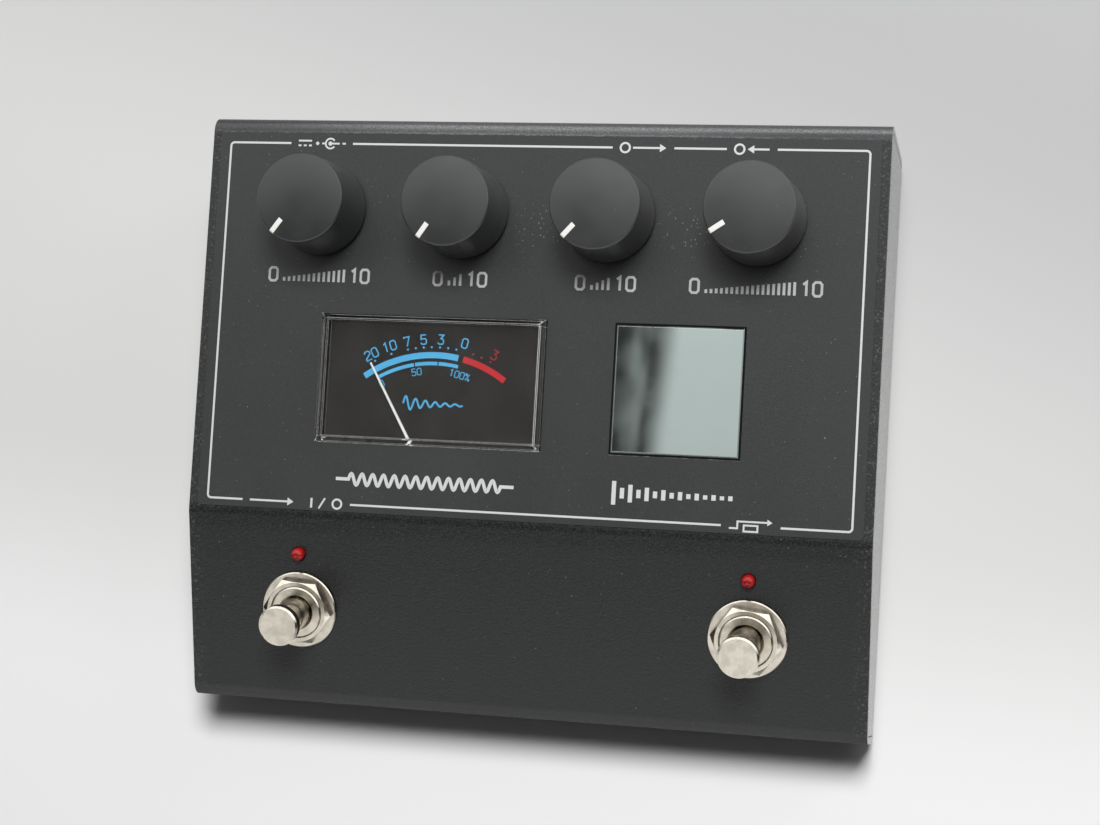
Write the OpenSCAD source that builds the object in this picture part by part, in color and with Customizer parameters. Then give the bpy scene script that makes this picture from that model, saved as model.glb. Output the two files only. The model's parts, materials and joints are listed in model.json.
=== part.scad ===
// Spring reverb floor unit: a folded steel case with a raised back panel and a
// sloping foot deck, four knobs, two footswitches with lamps, a needle meter,
// a mirror window and a three-spring reverb tank inside.
// Millimetres. X runs to the right, Y to the back, Z up. The origin lies on
// the floor under the middle of the outer box.

/* [Case] */
// Width of the case
case_w = 156; // [148:1:170]
// Length of the back panel along its slope, crease to back edge
panel_len = 91.5; // [88:0.5:100]
// Length of the foot deck along its slope, crease to front edge
deck_len = 44.2; // [42:0.2:50]
// Slope of the back panel
panel_tilt = 3; // [2:0.5:5]
// Slope of the foot deck
deck_tilt = 17.5; // [15:0.5:20]
// Height of the case at its back edge, without the feet
back_h = 35.5; // [34:0.5:42]
// Thickness of the folded cover
sheet_t = 1.5; // [1.2:0.1:2]
// Outer radius of the bends at the back and front edges
bend_r = 3.4; // [2.2:0.1:4]
// Outer radius of the bend between panel and deck
crease_r = 7; // [4:0.5:12]
// Depth of the cover's return flanges under the case
flange_len = 10; // [8:0.5:12]
// Thickness of the tray
tray_t = 1.2; // [1:0.1:1.6]
// Outer radius of the bends along the tray's lower edges
tray_bend_r = 2; // [1.7:0.1:3]
// Seam between tray walls and cover
seam = 0.2; // [0.1:0.05:0.4]
// Height of the rubber feet
foot_h = 3; // [2.5:0.25:6]
// Diameter of the rubber feet
foot_d = 12; // [8:0.5:16]
// Distance of the feet from the case edges
foot_inset = 16; // [12:0.5:24]
// Thread diameter of the base screws
base_screw_d = 3; // [2.5:0.5:4]
// Head diameter of the base screws
base_screw_head_d = 5.5; // [5:0.25:7]
// Head height of the base screws
base_screw_head_h = 1.6; // [1.2:0.1:2.2]
// Length of the base screws under the head
base_screw_len = 5; // [4:0.5:8]
// Distance of the outer base screws from the case sides
base_screw_inset = 20; // [14:1:30]
// Distance of the base screws from the front and back edges
base_screw_edge = 6; // [5:0.25:6.5]

/* [Panel overlay] */
// Thickness of the printed overlay
overlay_t = 0.25; // [0.15:0.05:0.5]
// Bare strip between the overlay and the panel edges
overlay_edge = 2; // [1:0.25:4]
// Bare strip between the overlay and the crease
overlay_front_edge = 1.2; // [0.5:0.1:4]
// Corner radius of the overlay
overlay_r = 1; // [0.5:0.5:6]

/* [Knobs] */
// Diameter of a knob at its top
knob_d = 20; // [18:0.25:24]
// Diameter of a knob at its foot
knob_base_d = 21.1; // [19:0.1:25]
// Height of a knob
knob_h = 15.9; // [13:0.1:20]
// Gap between the panel and a knob's foot
knob_lift = 1; // [0.6:0.1:2]
// Rounding of a knob's top edge
knob_edge = 0.5; // [0.2:0.1:1.5]
// Rise of a knob's top from its rim to its middle
knob_crown = 0.6; // [0:0.1:1.2]
// Distance between knobs
knob_pitch = 33.4; // [28:0.2:36]
// Distance of the knob row from the back edge
knob_row = 21.6; // [18:0.1:24]
// Pointer positions, degrees clockwise from straight up
knob_rest = [-142, -145, -137, -123]; // [-150:1:150]
// Width of the white pointer inlay
pointer_w = 1.2; // [0.6:0.1:1.6]
// Length of the white pointer inlay
pointer_len = 3.8; // [2:0.1:6]
// Depth of the white pointer inlay
pointer_depth = 0.6; // [0.3:0.1:1.2]

/* [Potentiometers] */
// Diameter of the pot shaft
pot_shaft_d = 6; // [5:0.1:6.35]
// Length of the pot shaft above the panel
pot_shaft_len = 13; // [11:0.25:14]
// Diameter of the pot bushing
pot_bush_d = 6.9; // [6.7:0.1:8]
// Length of the pot bushing above the panel
pot_bush_len = 3.8; // [3.2:0.1:4.4]
// Width of the pot body
pot_body_w = 10; // [9:0.1:12]
// Length of the pot body along the panel's slope
pot_body_len = 11.5; // [10:0.1:13]
// Depth of the pot body behind the panel
pot_body_h = 6.8; // [6:0.1:8]
// Width across flats of the pot nut
pot_nut_af = 10; // [9.5:0.25:11]
// Thickness of the pot nut
pot_nut_h = 2; // [1.5:0.1:2.4]

/* [Footswitches] */
// Distance of the footswitches from the case sides
switch_inset = 26.5; // [22:0.5:34]
// Diameter of the threaded bushing
bush_d = 12; // [11:0.1:13]
// Height of the bushing's end above the deck
bush_top = 3.1; // [3:0.1:5]
// Reach of the bushing behind the deck's outer face
bush_reach = 9; // [8:0.25:9.5]
// Width across flats of the footswitch nuts
switch_nut_af = 14; // [13.5:0.1:16]
// Thickness of the upper footswitch nut
switch_nut_h = 1.9; // [1.5:0.1:2]
// Turn of the upper nuts, left then right
switch_nut_turn = [-4.5, -7.5]; // [-30:0.5:30]
// Thickness of the lock nut behind the deck
lock_nut_h = 2; // [1.5:0.1:2.5]
// Diameter of the dress washer
washer_d = 17.7; // [16.5:0.1:20]
// Thickness of the dress washer
washer_t = 1; // [0.6:0.1:1]
// Diameter of the button's stem
stem_d = 7.2; // [6:0.1:7.6]
// Diameter of the button's cap
cap_d = 9.15; // [8.5:0.05:10.5]
// Height of the cap's top above the deck
cap_top = 14.7; // [13:0.1:17]
// Height of the cap with its flare
cap_h = 4; // [3.2:0.1:5]
// Chamfer round the cap's top
cap_chamfer = 0.42; // [0.2:0.02:0.8]
// Travel of the button
button_travel = 2.2; // [1.5:0.1:2.5]
// Width of the switch body
switch_body_w = 16.5; // [15.5:0.25:17]
// Length of the solder lugs
lug_len = 2; // [1:0.25:2.5]

/* [Lamps] */
// Diameter of the lamp's lens
lamp_d = 3.1; // [2.8:0.1:5]
// Distance of a lamp from its footswitch, up the deck
lamp_gap = 13; // [12:0.25:15]
// Height of the lamp's dome above the deck
lamp_proud = 2.3; // [1.8:0.1:4]

/* [Meter] */
// Width of the meter's window box
meter_w = 52.4; // [48:0.2:56]
// Height of the meter's window box along the panel
meter_h = 29.2; // [27:0.2:31]
// Sideways place of the meter's middle
meter_x = -22.2; // [-26:0.2:-20]
// Distance of the meter's middle from the crease
meter_row = 31.6; // [31:0.2:34]
// Height of the window box above the panel
meter_proud = 2.1; // [1:0.1:4]
// Width of the bevel round the window box
meter_bevel = 1.2; // [0.5:0.1:1.6]
// Wall of the clear cover
meter_wall = 1.4; // [1:0.1:1.8]
// Depth of the meter's housing behind the cover
meter_depth = 11.5; // [11:0.25:13]
// Distance of the needle's pivot below the meter's middle
pivot_drop = 22; // [21:0.1:22.5]
// Length of the needle from its pivot
needle_len = 30; // [24:0.5:33]
// Resting position of the needle, degrees clockwise from straight up
needle_rest = -30.3; // [-36:0.1:0]
// Width of the needle
needle_w = 0.4; // [0.3:0.05:0.8]

/* [Window] */
// Side of the square window cut-out
window_w = 29.2; // [26:0.2:32]
// Sideways place of the window's middle
window_x = 34.1; // [32:0.1:38]
// Height of the mirror glass above the panel
window_proud = 0.5; // [0.2:0.05:1]
// Thickness of the mirror glass
glass_t = 2.5; // [2.2:0.1:3]
// Width of the black seal round the glass
seal_w = 0.4; // [0.3:0.05:1]

/* [Sockets] */
// Height of the sockets' middles above the case's underside
socket_z = 12.5; // [12:0.25:13.5]
// Sideways place of the input socket
input_x = 46; // [42:0.5:50]
// Sideways place of the output socket
output_x = 21; // [16:0.5:24]
// Sideways place of the power socket
power_x = -52.5; // [-58:0.5:-40]
// Bore of the input and output sockets
plug_bore_d = 6.4; // [6.4:0.05:6.6]
// Depth of the plug bore
plug_depth = 26; // [22:0.5:27]
// Diameter of the socket's threaded nose
nose_d = 9; // [8.6:0.1:10]
// Length of the nose behind the case
socket_proud = 4; // [4:0.25:6]
// Width of a socket body
socket_w = 16; // [14:0.25:18]
// Height of a socket body
socket_h = 13; // [12:0.25:14]
// Depth of a socket body
socket_depth = 24; // [23:0.5:26]
// Width across flats of the socket nut
socket_nut_af = 12; // [11.5:0.25:13]
// Thickness of the socket nut
socket_nut_h = 2.4; // [2:0.1:3]
// Outer diameter of the power plug
power_bore_d = 5.6; // [5.5:0.05:5.8]
// Diameter of the power socket's pin
power_pin_d = 2.1; // [1.9:0.1:2.5]

/* [Boards] */
// Thickness of the circuit boards
board_t = 1.6; // [1.2:0.1:2]
// Distance between the boards and the case sides
board_inset = 10; // [8:0.5:14]
// Reach of the main board in front of the knob row
board_front = 9; // [8:0.5:10]
// Reach of the main board behind the knob row
board_back = 14; // [10:0.5:16]

/* [Reverb tank] */
// Width of the tank
tank_w = 40; // [36:0.5:42]
// Height of the tank's walls
tank_h = 9.5; // [9:0.25:10]
// Thickness of the tank's sheet
tank_t = 0.8; // [0.6:0.1:1]
// Gap between the tank's ends and the tray walls
tank_end_gap = 6.8; // [4:0.2:10]
// Distance of the tank's middle behind the crease
tank_row = 30; // [28:0.5:32]
// Thickness of the rubber pads under the tank
pad_h = 1.5; // [1:0.25:2]
// Curls of each reverb spring
spring_curls = 20; // [10:1:24]
// Diameter of a reverb spring, middle of the wire
spring_d = 4.2; // [3.5:0.1:5]
// Wire diameter of a reverb spring
wire_d = 0.7; // [0.5:0.05:0.8]
// Distance between reverb springs
spring_pitch = 8.6; // [8:0.1:9]
// Diameter of the bead magnets at the spring ends
bead_d = 2.4; // [2:0.1:2.6]
// Length of the bead magnets from the tank's end walls
bead_len = 23; // [20:0.5:26]
// Thickness of the transducer cores
core_t = 1.8; // [1.5:0.1:2]
// Gap between the upper and lower core bars
core_gap = 3.4; // [3.2:0.1:3.6]

/* [Hidden] */
$fn = 64;

// Running clearance of a shaft in its bore, on the radius
run_fit = 0.05;
// Clearance between a fixed piece and the hole that it passes through
hole_gap = 0.15;
// Clearance between flat pieces that fit into each other
slip = 0.05;
// Overshoot of a cut past the face that it opens
over = 1;
// Steps in a bend's arc
arc_steps = 8;
// Inner radius of the cover's tight bends over its flanges
inner_bend_r = 0.7;
// Least radius left inside a bend
least_r = 0.2;

// Side profile of the case, measured from the front lip and the underside
case_d = panel_len * cos(panel_tilt) + deck_len * cos(deck_tilt);
crease = [deck_len * cos(deck_tilt), back_h - panel_len * sin(panel_tilt)];
front_top = crease[1] - deck_len * sin(deck_tilt);
front_y = -(case_d + socket_proud) / 2;
flange_bend_r = sheet_t + inner_bend_r;
cover_path = [
    [flange_len, tray_t],
    [0, tray_t],
    [0, front_top],
    crease,
    [case_d, back_h],
    [case_d, tray_t],
    [case_d - flange_len, tray_t]
];
cover_radii = [0, flange_bend_r, bend_r, crease_r, bend_r, flange_bend_r, 0];

// Places of the repeated pieces
knob_v = panel_len - knob_row;
knob_x = [for (i = [0:3]) (i - 1.5) * knob_pitch];
switch_x = [for (side = [-1, 1]) side * (case_w / 2 - switch_inset)];
switch_u = deck_len / 2;
jack_x = [output_x, input_x];
base_screw_x = case_w / 2 - base_screw_inset;
base_screw_y = [base_screw_edge, case_d - base_screw_edge];

// Outline with each inner corner of a path replaced by an arc
function unit(from, to) = (to - from) / norm(to - from);
function inward(d) = [d[1], -d[0]];
function turned(v, a) = [v[0] * cos(a) - v[1] * sin(a), v[0] * sin(a) + v[1] * cos(a)];
function mitre(a, p, b) =
    let (n1 = inward(unit(a, p)), n2 = inward(unit(p, b)))
    (n1 + n2) / (1 + n1 * n2);
function arc_at(a, p, b, r) =
    let (
        d1 = unit(a, p),
        d2 = unit(p, b),
        c = p + mitre(a, p, b) * r,
        turn = acos(d1 * d2)
    )
    [for (i = [0:arc_steps]) c - turned(inward(d1), -turn * i / arc_steps) * r];
function rounded(path, radii) =
    let (last = len(path) - 1)
    [
        path[0],
        for (i = [1:last - 1]) each arc_at(path[i - 1], path[i], path[i + 1], radii[i]),
        path[last]
    ];
function shifted(path, t) =
    let (last = len(path) - 1)
    [
        path[0] + inward(unit(path[0], path[1])) * t,
        for (i = [1:last - 1]) path[i] + mitre(path[i - 1], path[i], path[i + 1]) * t,
        path[last] + inward(unit(path[last - 1], path[last])) * t
    ];
function reversed(list) = [for (i = [len(list) - 1:-1:0]) list[i]];
function less(radii, t) = [for (r = radii) max(r - t, least_r)];

// Places a piece in the case, on its back panel or on its foot deck
module in_case() {
    translate([0, front_y, foot_h])
        children();
}
module on_panel(x, v, z = 0) {
    in_case()
        translate([0, crease[0], crease[1]])
            rotate([panel_tilt, 0, 0])
                translate([x, v, z])
                    children();
}
module on_deck(x, u, z = 0) {
    in_case()
        translate([0, crease[0], crease[1]])
            rotate([deck_tilt, 0, 0])
                translate([x, -u, z])
                    children();
}
module on_back(x, z) {
    in_case()
        translate([x, case_d, z])
            rotate([-90, 0, 0])
                children();
}

// Shapes that repeat
module along_x(w) {
    rotate([90, 0, 90])
        linear_extrude(w, center = true)
            children();
}
module block(size, z) {
    translate([-size[0] / 2, -size[1] / 2, z])
        cube(size);
}
module pin(d, from, to) {
    translate([0, 0, from])
        cylinder(d = d, h = to - from);
}
module tube(d_out, d_in, from, to) {
    difference() {
        pin(d_out, from, to);
        pin(d_in, from - over, to + over);
    }
}
module hexagon(af, from, to) {
    translate([0, 0, from])
        cylinder(d = af / cos(30), h = to - from, $fn = 6);
}
module chamfered_nut(af, bore_d, from, to) {
    face_inset = 0.1;
    corner_r = af / 2 / cos(30);
    face_r = af / 2 - face_inset;
    drop = (corner_r - face_r) * tan(30);
    difference() {
        intersection() {
            hexagon(af, from, to);
            rotate_extrude()
                polygon([[0, from], [corner_r, from], [corner_r, to - drop], [face_r, to], [0, to]]);
        }
        pin(bore_d, from - over, to + over);
    }
}
module rounded_square(size, r) {
    square([size[0] - 2 * r, size[1]], center = true);
    square([size[0], size[1] - 2 * r], center = true);
    for (x = [-1, 1], y = [-1, 1])
        translate([x * (size[0] / 2 - r), y * (size[1] / 2 - r)])
            circle(r);
}
module bevelled_box(size, bevel, z) {
    function side(w) = [
        [-w / 2, z], [w / 2, z], [w / 2, z + size[2] - bevel],
        [w / 2 - bevel, z + size[2]], [bevel - w / 2, z + size[2]], [-w / 2, z + size[2] - bevel]
    ];
    intersection() {
        rotate([90, 0, 0])
            linear_extrude(size[1], center = true)
                polygon(side(size[0]));
        along_x(size[0])
            polygon(side(size[1]));
    }
}

// Sweeps a round wire along a path whose points are [point, radial direction]
wire_sides = 6;
function wire_tangent(path, i) =
    unit(path[max(i - 1, 0)][0], path[min(i + 1, len(path) - 1)][0]);
function wire_ring(path, i, r) =
    let (
        t = wire_tangent(path, i),
        b = cross(t, path[i][1]),
        v = b / norm(b),
        u = cross(v, t)
    )
    [for (k = [0:wire_sides - 1]) path[i][0] + r * (u * cos(60 * k) + v * sin(60 * k))];
module wire(path, d) {
    last = len(path) - 1;
    sides = [
        for (i = [0:last - 1], k = [0:wire_sides - 1])
            let (a = i * wire_sides, n = (k + 1) % wire_sides)
            each [[a + k, a + n, a + wire_sides + k], [a + n, a + wire_sides + n, a + wire_sides + k]]
    ];
    first_cap = [for (k = [1:wire_sides - 2]) [0, k + 1, k]];
    end = last * wire_sides;
    last_cap = [for (k = [1:wire_sides - 2]) [end, end + k, end + k + 1]];
    polyhedron(
        points = [for (i = [0:last]) each wire_ring(path, i, d / 2)],
        faces = concat(first_cap, sides, last_cap)
    );
}
// Least gap between turns, leaving out each point's own neighbours
function least_gap(path, d, skip) =
    min([
        for (i = [0:len(path) - 1], j = [i + skip:1:len(path) - 1])
            norm(path[i][0] - path[j][0])
    ]) - d;

// A helix along Z with steps points a curl, whose ends run straight
curl_steps = 8;
function helix_point(r, a, z) = [[r * cos(a), r * sin(a), z], [cos(a), sin(a), 0]];
function helix(r, end_r, curls, from, to, tail) =
    let (n = curls * curl_steps, rise = (to - from - 2 * tail) / n)
    [
        helix_point(end_r, 0, from),
        helix_point(end_r, 0, from + tail),
        for (i = [1:n - 1])
            let (ease = min(1, min(i, n - i) / (curl_steps / 2)))
            helix_point(end_r + (r - end_r) * ease, i * 360 / curl_steps, from + tail + i * rise),
        helix_point(end_r, 0, to - tail),
        helix_point(end_r, 0, to)
    ];

// Case
module cover_sheet() {
    polygon(concat(
        rounded(cover_path, cover_radii),
        reversed(rounded(shifted(cover_path, sheet_t), less(cover_radii, sheet_t)))
    ));
}
module top_cover() {
    notch_w = tray_t + seam;
    notch = [notch_w + over, flange_len + over, sheet_t + flange_bend_r];
    color([0.07, 0.07, 0.075])
        difference() {
            in_case()
                along_x(case_w)
                    cover_sheet();
            in_case()
                for (side = [-1, 1], y = [sheet_t, case_d - sheet_t - notch[1]])
                    translate([side * (case_w / 2 - notch_w + notch[0] / 2) - notch[0] / 2, y, tray_t - over])
                        cube(notch + [0, 0, over]);
            in_case()
                for (x = [-base_screw_x, 0, base_screw_x], y = base_screw_y)
                    translate([x, y, 0])
                        pin(base_screw_d + 2 * run_fit, 0, tray_t + sheet_t + over);
            for (x = knob_x)
                on_panel(x, knob_v)
                    pin(pot_bush_d + 2 * hole_gap, -sheet_t - over, over);
            on_panel(meter_x, meter_row)
                block([meter_w + 2 * hole_gap, meter_h + 2 * hole_gap, sheet_t + 2 * over], -sheet_t - over);
            on_panel(window_x, meter_row)
                block([window_w, window_w, sheet_t + 2 * over], -sheet_t - over);
            for (x = switch_x) {
                on_deck(x, switch_u)
                    pin(bush_d + 2 * hole_gap, -sheet_t - over, over);
                on_deck(x, switch_u - lamp_gap)
                    pin(lamp_d + 2 * hole_gap, -sheet_t - over, over);
            }
            for (x = jack_x)
                on_back(x, socket_z)
                    pin(nose_d + 2 * hole_gap, -sheet_t - over, over);
            on_back(power_x, socket_z)
                pin(power_nose_d + 2 * hole_gap, -sheet_t - over, over);
        }
}
module base_tray() {
    inner = shifted(cover_path, sheet_t + seam);
    side_path = [
        [inner[1][0], tray_t], inner[2], inner[3], inner[4], [inner[5][0], tray_t]
    ];
    side_radii = less([0, bend_r, crease_r, bend_r, 0], sheet_t + seam);
    fold_path = [
        [case_w / 2, back_h], [case_w / 2, 0], [-case_w / 2, 0], [-case_w / 2, back_h]
    ];
    fold_radii = [0, tray_bend_r, tray_bend_r, 0];
    color([0.07, 0.07, 0.075])
        in_case()
            difference() {
                intersection() {
                    along_x(case_w)
                        polygon(concat(
                            [[0, tray_t]],
                            rounded(side_path, side_radii),
                            [[case_d, tray_t], [case_d, 0], [0, 0]]
                        ));
                    translate([0, case_d, 0])
                        rotate([90, 0, 0])
                            linear_extrude(case_d)
                                polygon(concat(
                                    rounded(fold_path, fold_radii),
                                    reversed(rounded(shifted(fold_path, tray_t), less(fold_radii, tray_t)))
                                ));
                }
                for (x = [-base_screw_x, 0, base_screw_x], y = base_screw_y)
                    translate([x, y, 0])
                        pin(base_screw_d + 2 * hole_gap, -over, tray_t + over);
            }
}
module panel_overlay() {
    length = panel_len - overlay_edge - overlay_front_edge - bend_r / 2;
    middle = overlay_front_edge + length / 2;
    color([0.09, 0.09, 0.095])
        difference() {
            on_panel(0, middle)
                linear_extrude(overlay_t)
                    rounded_square([case_w - 2 * overlay_edge, length], overlay_r);
            for (x = knob_x)
                on_panel(x, knob_v)
                    pin(pot_bush_d + 2 * hole_gap, -over, over);
            on_panel(meter_x, meter_row)
                block([meter_w + 2 * hole_gap, meter_h + 2 * hole_gap, 2 * over], -over);
            on_panel(window_x, meter_row)
                block([window_w, window_w, 2 * over], -over);
        }
}
module base_screws() {
    slot_w = 0.8;
    slot_len = 3;
    slot_depth = 0.9;
    color("silver")
        in_case()
            for (x = [-base_screw_x, 0, base_screw_x], y = base_screw_y)
                translate([x, y, 0])
                    difference() {
                        union() {
                            pin(base_screw_d, 0, base_screw_len);
                            rotate_extrude()
                                polygon([
                                    [0, -base_screw_head_h],
                                    [base_screw_head_d / 2 - base_screw_head_h / 2, -base_screw_head_h],
                                    [base_screw_head_d / 2, -base_screw_head_h / 2],
                                    [base_screw_head_d / 2, 0],
                                    [0, 0]
                                ]);
                        }
                        for (turn = [0, 90])
                            rotate([0, 0, turn])
                                block([slot_len, slot_w, slot_depth + over], -base_screw_head_h - over);
                    }
}
module rubber_feet() {
    taper = foot_h / 4;
    color([0.05, 0.05, 0.05])
        for (x = [-1, 1], y = [foot_inset, case_d - foot_inset])
            translate([x * (case_w / 2 - foot_inset), front_y + y, 0])
                rotate_extrude()
                    polygon([
                        [0, 0], [foot_d / 2 - taper, 0], [foot_d / 2 - taper / 3, taper],
                        [foot_d / 2, foot_h], [0, foot_h]
                    ]);
}

// Knobs and potentiometers, measured from the panel
knob_foot = overlay_t + knob_lift;
knob_top = knob_foot + knob_h;
knob_rim = knob_top - knob_crown;
// Room over the bushing and round the nut inside a knob
knob_room = 0.5;
nut_room = 1;
knob_floor = max(pot_bush_len, overlay_t + pot_nut_h) + knob_room;
// The flat on a pot shaft and its start below the knob's bore
shaft_flat = pot_shaft_d / 4;
flat_lead = 0.3;
shaft_flat_foot = knob_floor - flat_lead;
// Floor of a pot body under its shaft
pot_floor_t = 1;
pot_back = -sheet_t - pot_body_h;
pot_hollow = pot_back + pot_floor_t;
module knob_form() {
    face_r = knob_d / 2 - knob_edge;
    rotate_extrude()
        polygon(concat(
            [
                [0, knob_foot],
                [knob_base_d / 2 - knob_edge, knob_foot],
                [knob_base_d / 2, knob_foot + knob_edge]
            ],
            [
                for (a = [0:90 / arc_steps:90])
                    [face_r + knob_edge * cos(a), knob_rim - knob_edge * (1 - sin(a))]
            ],
            [
                for (i = [arc_steps - 1:-1:0])
                    [face_r * i / arc_steps, knob_top - knob_crown * pow(i / arc_steps, 2)]
            ]
        ));
}
module pointer_bar(w, depth) {
    translate([-w / 2, knob_d / 2 - pointer_len, knob_rim - depth])
        cube([w, pointer_len + over, depth + knob_crown + over]);
}
module shaft_section(d) {
    difference() {
        circle(d = d);
        translate([-d, d / 2 - shaft_flat])
            square([2 * d, d]);
    }
}
module knob(i) {
    recess_d = pot_nut_af / cos(30) + 2 * nut_room;
    color([0.06, 0.06, 0.065])
        on_panel(knob_x[i], knob_v)
            rotate([0, 0, -knob_rest[i]])
                difference() {
                    knob_form();
                    pin(recess_d, knob_foot - over, knob_floor);
                    translate([0, 0, knob_floor - over])
                        linear_extrude(pot_shaft_len + slip - knob_floor + over)
                            shaft_section(pot_shaft_d + 2 * slip);
                    pointer_bar(pointer_w, pointer_depth);
                }
}
module pointer(i) {
    color("white")
        on_panel(knob_x[i], knob_v)
            rotate([0, 0, -knob_rest[i]])
                intersection() {
                    knob_form();
                    pointer_bar(pointer_w - slip, pointer_depth - slip);
                }
}
module pot_shaft(i) {
    color("silver")
        on_panel(knob_x[i], knob_v)
            rotate([0, 0, -knob_rest[i]]) {
                pin(pot_shaft_d, pot_hollow, shaft_flat_foot);
                translate([0, 0, shaft_flat_foot])
                    linear_extrude(pot_shaft_len - shaft_flat_foot)
                        shaft_section(pot_shaft_d);
            }
}
module pot_bodies() {
    color([0.55, 0.55, 0.5])
        for (x = knob_x)
            on_panel(x, knob_v)
                difference() {
                    union() {
                        block([pot_body_w, pot_body_len, pot_body_h], pot_back);
                        pin(pot_bush_d, -sheet_t, pot_bush_len);
                    }
                    pin(pot_shaft_d + 2 * run_fit, pot_hollow - run_fit, pot_bush_len + over);
                }
}
module pot_nuts() {
    color("silver")
        for (x = knob_x)
            on_panel(x, knob_v)
                difference() {
                    hexagon(pot_nut_af, overlay_t, overlay_t + pot_nut_h);
                    pin(pot_bush_d + 2 * slip, 0, overlay_t + pot_nut_h + over);
                }
}

// Lamps
module led(i) {
    dome_z = lamp_proud - lamp_d / 2;
    collar_w = 0.4;
    collar_t = 1;
    collar_d = lamp_d + 2 * collar_w;
    collar_z = -sheet_t - collar_t;
    leg_w = 0.5;
    leg_gap = 2.54;
    leg_len = 5;
    color([0.75, 0.04, 0.05])
        on_deck(switch_x[i], switch_u - lamp_gap) {
            rotate_extrude()
                polygon(concat(
                    [
                        [0, collar_z],
                        [collar_d / 2, collar_z],
                        [collar_d / 2, -sheet_t],
                        [lamp_d / 2, -sheet_t]
                    ],
                    [for (a = [0:90 / arc_steps:90]) [lamp_d / 2 * cos(a), dome_z + lamp_d / 2 * sin(a)]]
                ));
            for (side = [-1, 1])
                translate([side * leg_gap / 2, 0, 0])
                    block([leg_w, leg_w, leg_len], collar_z - leg_len);
        }
}

// Footswitches, measured from the deck along the button
bush_foot = -bush_reach;
bush_flange_t = 1.5;
// Step between the bushing's flange and the sides of the switch body
flange_step = 0.5;
// Collar that keeps the button in its bushing
foot_gap = 0.2;
foot_t = 1.4;
foot_rim = 1;
button_foot_d = stem_d + 2 * foot_rim;
cavity_gap = 0.5;
cavity_d = button_foot_d + 2 * cavity_gap;
// Return spring, with its height when it is pressed flat
spring_wire_d = 0.44;
spring_seat_d = 6;
button_curls = 4;
spring_curled_h = 2.2;
spring_top = bush_foot - foot_gap - foot_t;
spring_floor = spring_top - button_travel - spring_curled_h;
switch_floor_t = 1.5;
switch_end = spring_floor - switch_floor_t;
module switch_body(i) {
    lug_w = 2;
    lug_t = 0.6;
    lug_gap = switch_body_w / 4;
    color([0.12, 0.18, 0.4])
        on_deck(switch_x[i], switch_u) {
            difference() {
                block([switch_body_w, switch_body_w, bush_foot - switch_end], switch_end);
                pin(cavity_d, spring_floor, bush_foot + over);
            }
            for (x = [-lug_gap, lug_gap])
                translate([x, 0, 0])
                    block([lug_w, lug_t, lug_len], switch_end - lug_len);
        }
}
module switch_bushing(i) {
    chamfer = 0.4;
    bore_r = stem_d / 2 + run_fit;
    flange_r = switch_body_w / 2 - flange_step;
    color("silver")
        on_deck(switch_x[i], switch_u)
            rotate_extrude()
                polygon([
                    [bore_r, bush_foot], [flange_r, bush_foot], [flange_r, bush_foot + bush_flange_t],
                    [bush_d / 2, bush_foot + bush_flange_t], [bush_d / 2, bush_top - chamfer],
                    [bush_d / 2 - chamfer, bush_top], [bore_r + chamfer, bush_top],
                    [bore_r, bush_top - chamfer]
                ]);
}
module switch_button(i) {
    foot_top = bush_foot - foot_gap;
    cap_r = cap_d / 2;
    stem_r = stem_d / 2;
    flare_h = cap_h / 2;
    color("silver")
        on_deck(switch_x[i], switch_u)
            rotate_extrude()
                polygon([
                    [0, foot_top - foot_t], [button_foot_d / 2, foot_top - foot_t],
                    [button_foot_d / 2, foot_top], [stem_r, foot_top], [stem_r, cap_top - cap_h],
                    [cap_r, cap_top - cap_h + flare_h], [cap_r, cap_top - cap_chamfer],
                    [cap_r - cap_chamfer, cap_top], [0, cap_top]
                ]);
}
button_spring = helix(
    spring_seat_d / 2, spring_seat_d / 2, button_curls,
    spring_floor, spring_top, spring_wire_d
);
module switch_spring(i) {
    color("gray")
        on_deck(switch_x[i], switch_u)
            wire(button_spring, spring_wire_d);
}
module switch_washers() {
    rim = 0.25;
    color("silver")
        for (x = switch_x)
            on_deck(x, switch_u)
                rotate_extrude()
                    polygon([
                        [bush_d / 2 + hole_gap, 0], [washer_d / 2, 0], [washer_d / 2, washer_t - rim],
                        [washer_d / 2 - rim, washer_t], [bush_d / 2 + hole_gap, washer_t]
                    ]);
}
module switch_nuts() {
    color("silver")
        for (i = [0, 1])
            on_deck(switch_x[i], switch_u)
                rotate([0, 0, switch_nut_turn[i]])
                    chamfered_nut(switch_nut_af, bush_d + 2 * slip, washer_t, washer_t + switch_nut_h);
}
module switch_lock_nuts() {
    color("silver")
        for (x = switch_x)
            on_deck(x, switch_u)
                difference() {
                    hexagon(switch_nut_af, -sheet_t - lock_nut_h, -sheet_t);
                    pin(bush_d + 2 * slip, -sheet_t - lock_nut_h - over, over);
                }
}

// Meter, measured from the middle of its window on the panel
meter_rim = 3;
meter_flange_t = 0.8;
meter_face = overlay_t + meter_proud;
flange_back = -sheet_t - meter_flange_t;
meter_floor = flange_back - meter_depth;
housing_wall = 1.3;
housing_floor = meter_floor + housing_wall;
// Magnet ring and the wall beyond it, in front of the pivot
magnet_d = 12.8;
magnet_in = 10;
magnet_gap = 0.5;
meter_foot = pivot_drop + magnet_d / 2 + magnet_gap + housing_wall;
meter_out = [meter_w + 2 * meter_rim, meter_h / 2 + meter_rim + meter_foot];
meter_shift = (meter_h / 2 + meter_rim - meter_foot) / 2;
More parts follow.
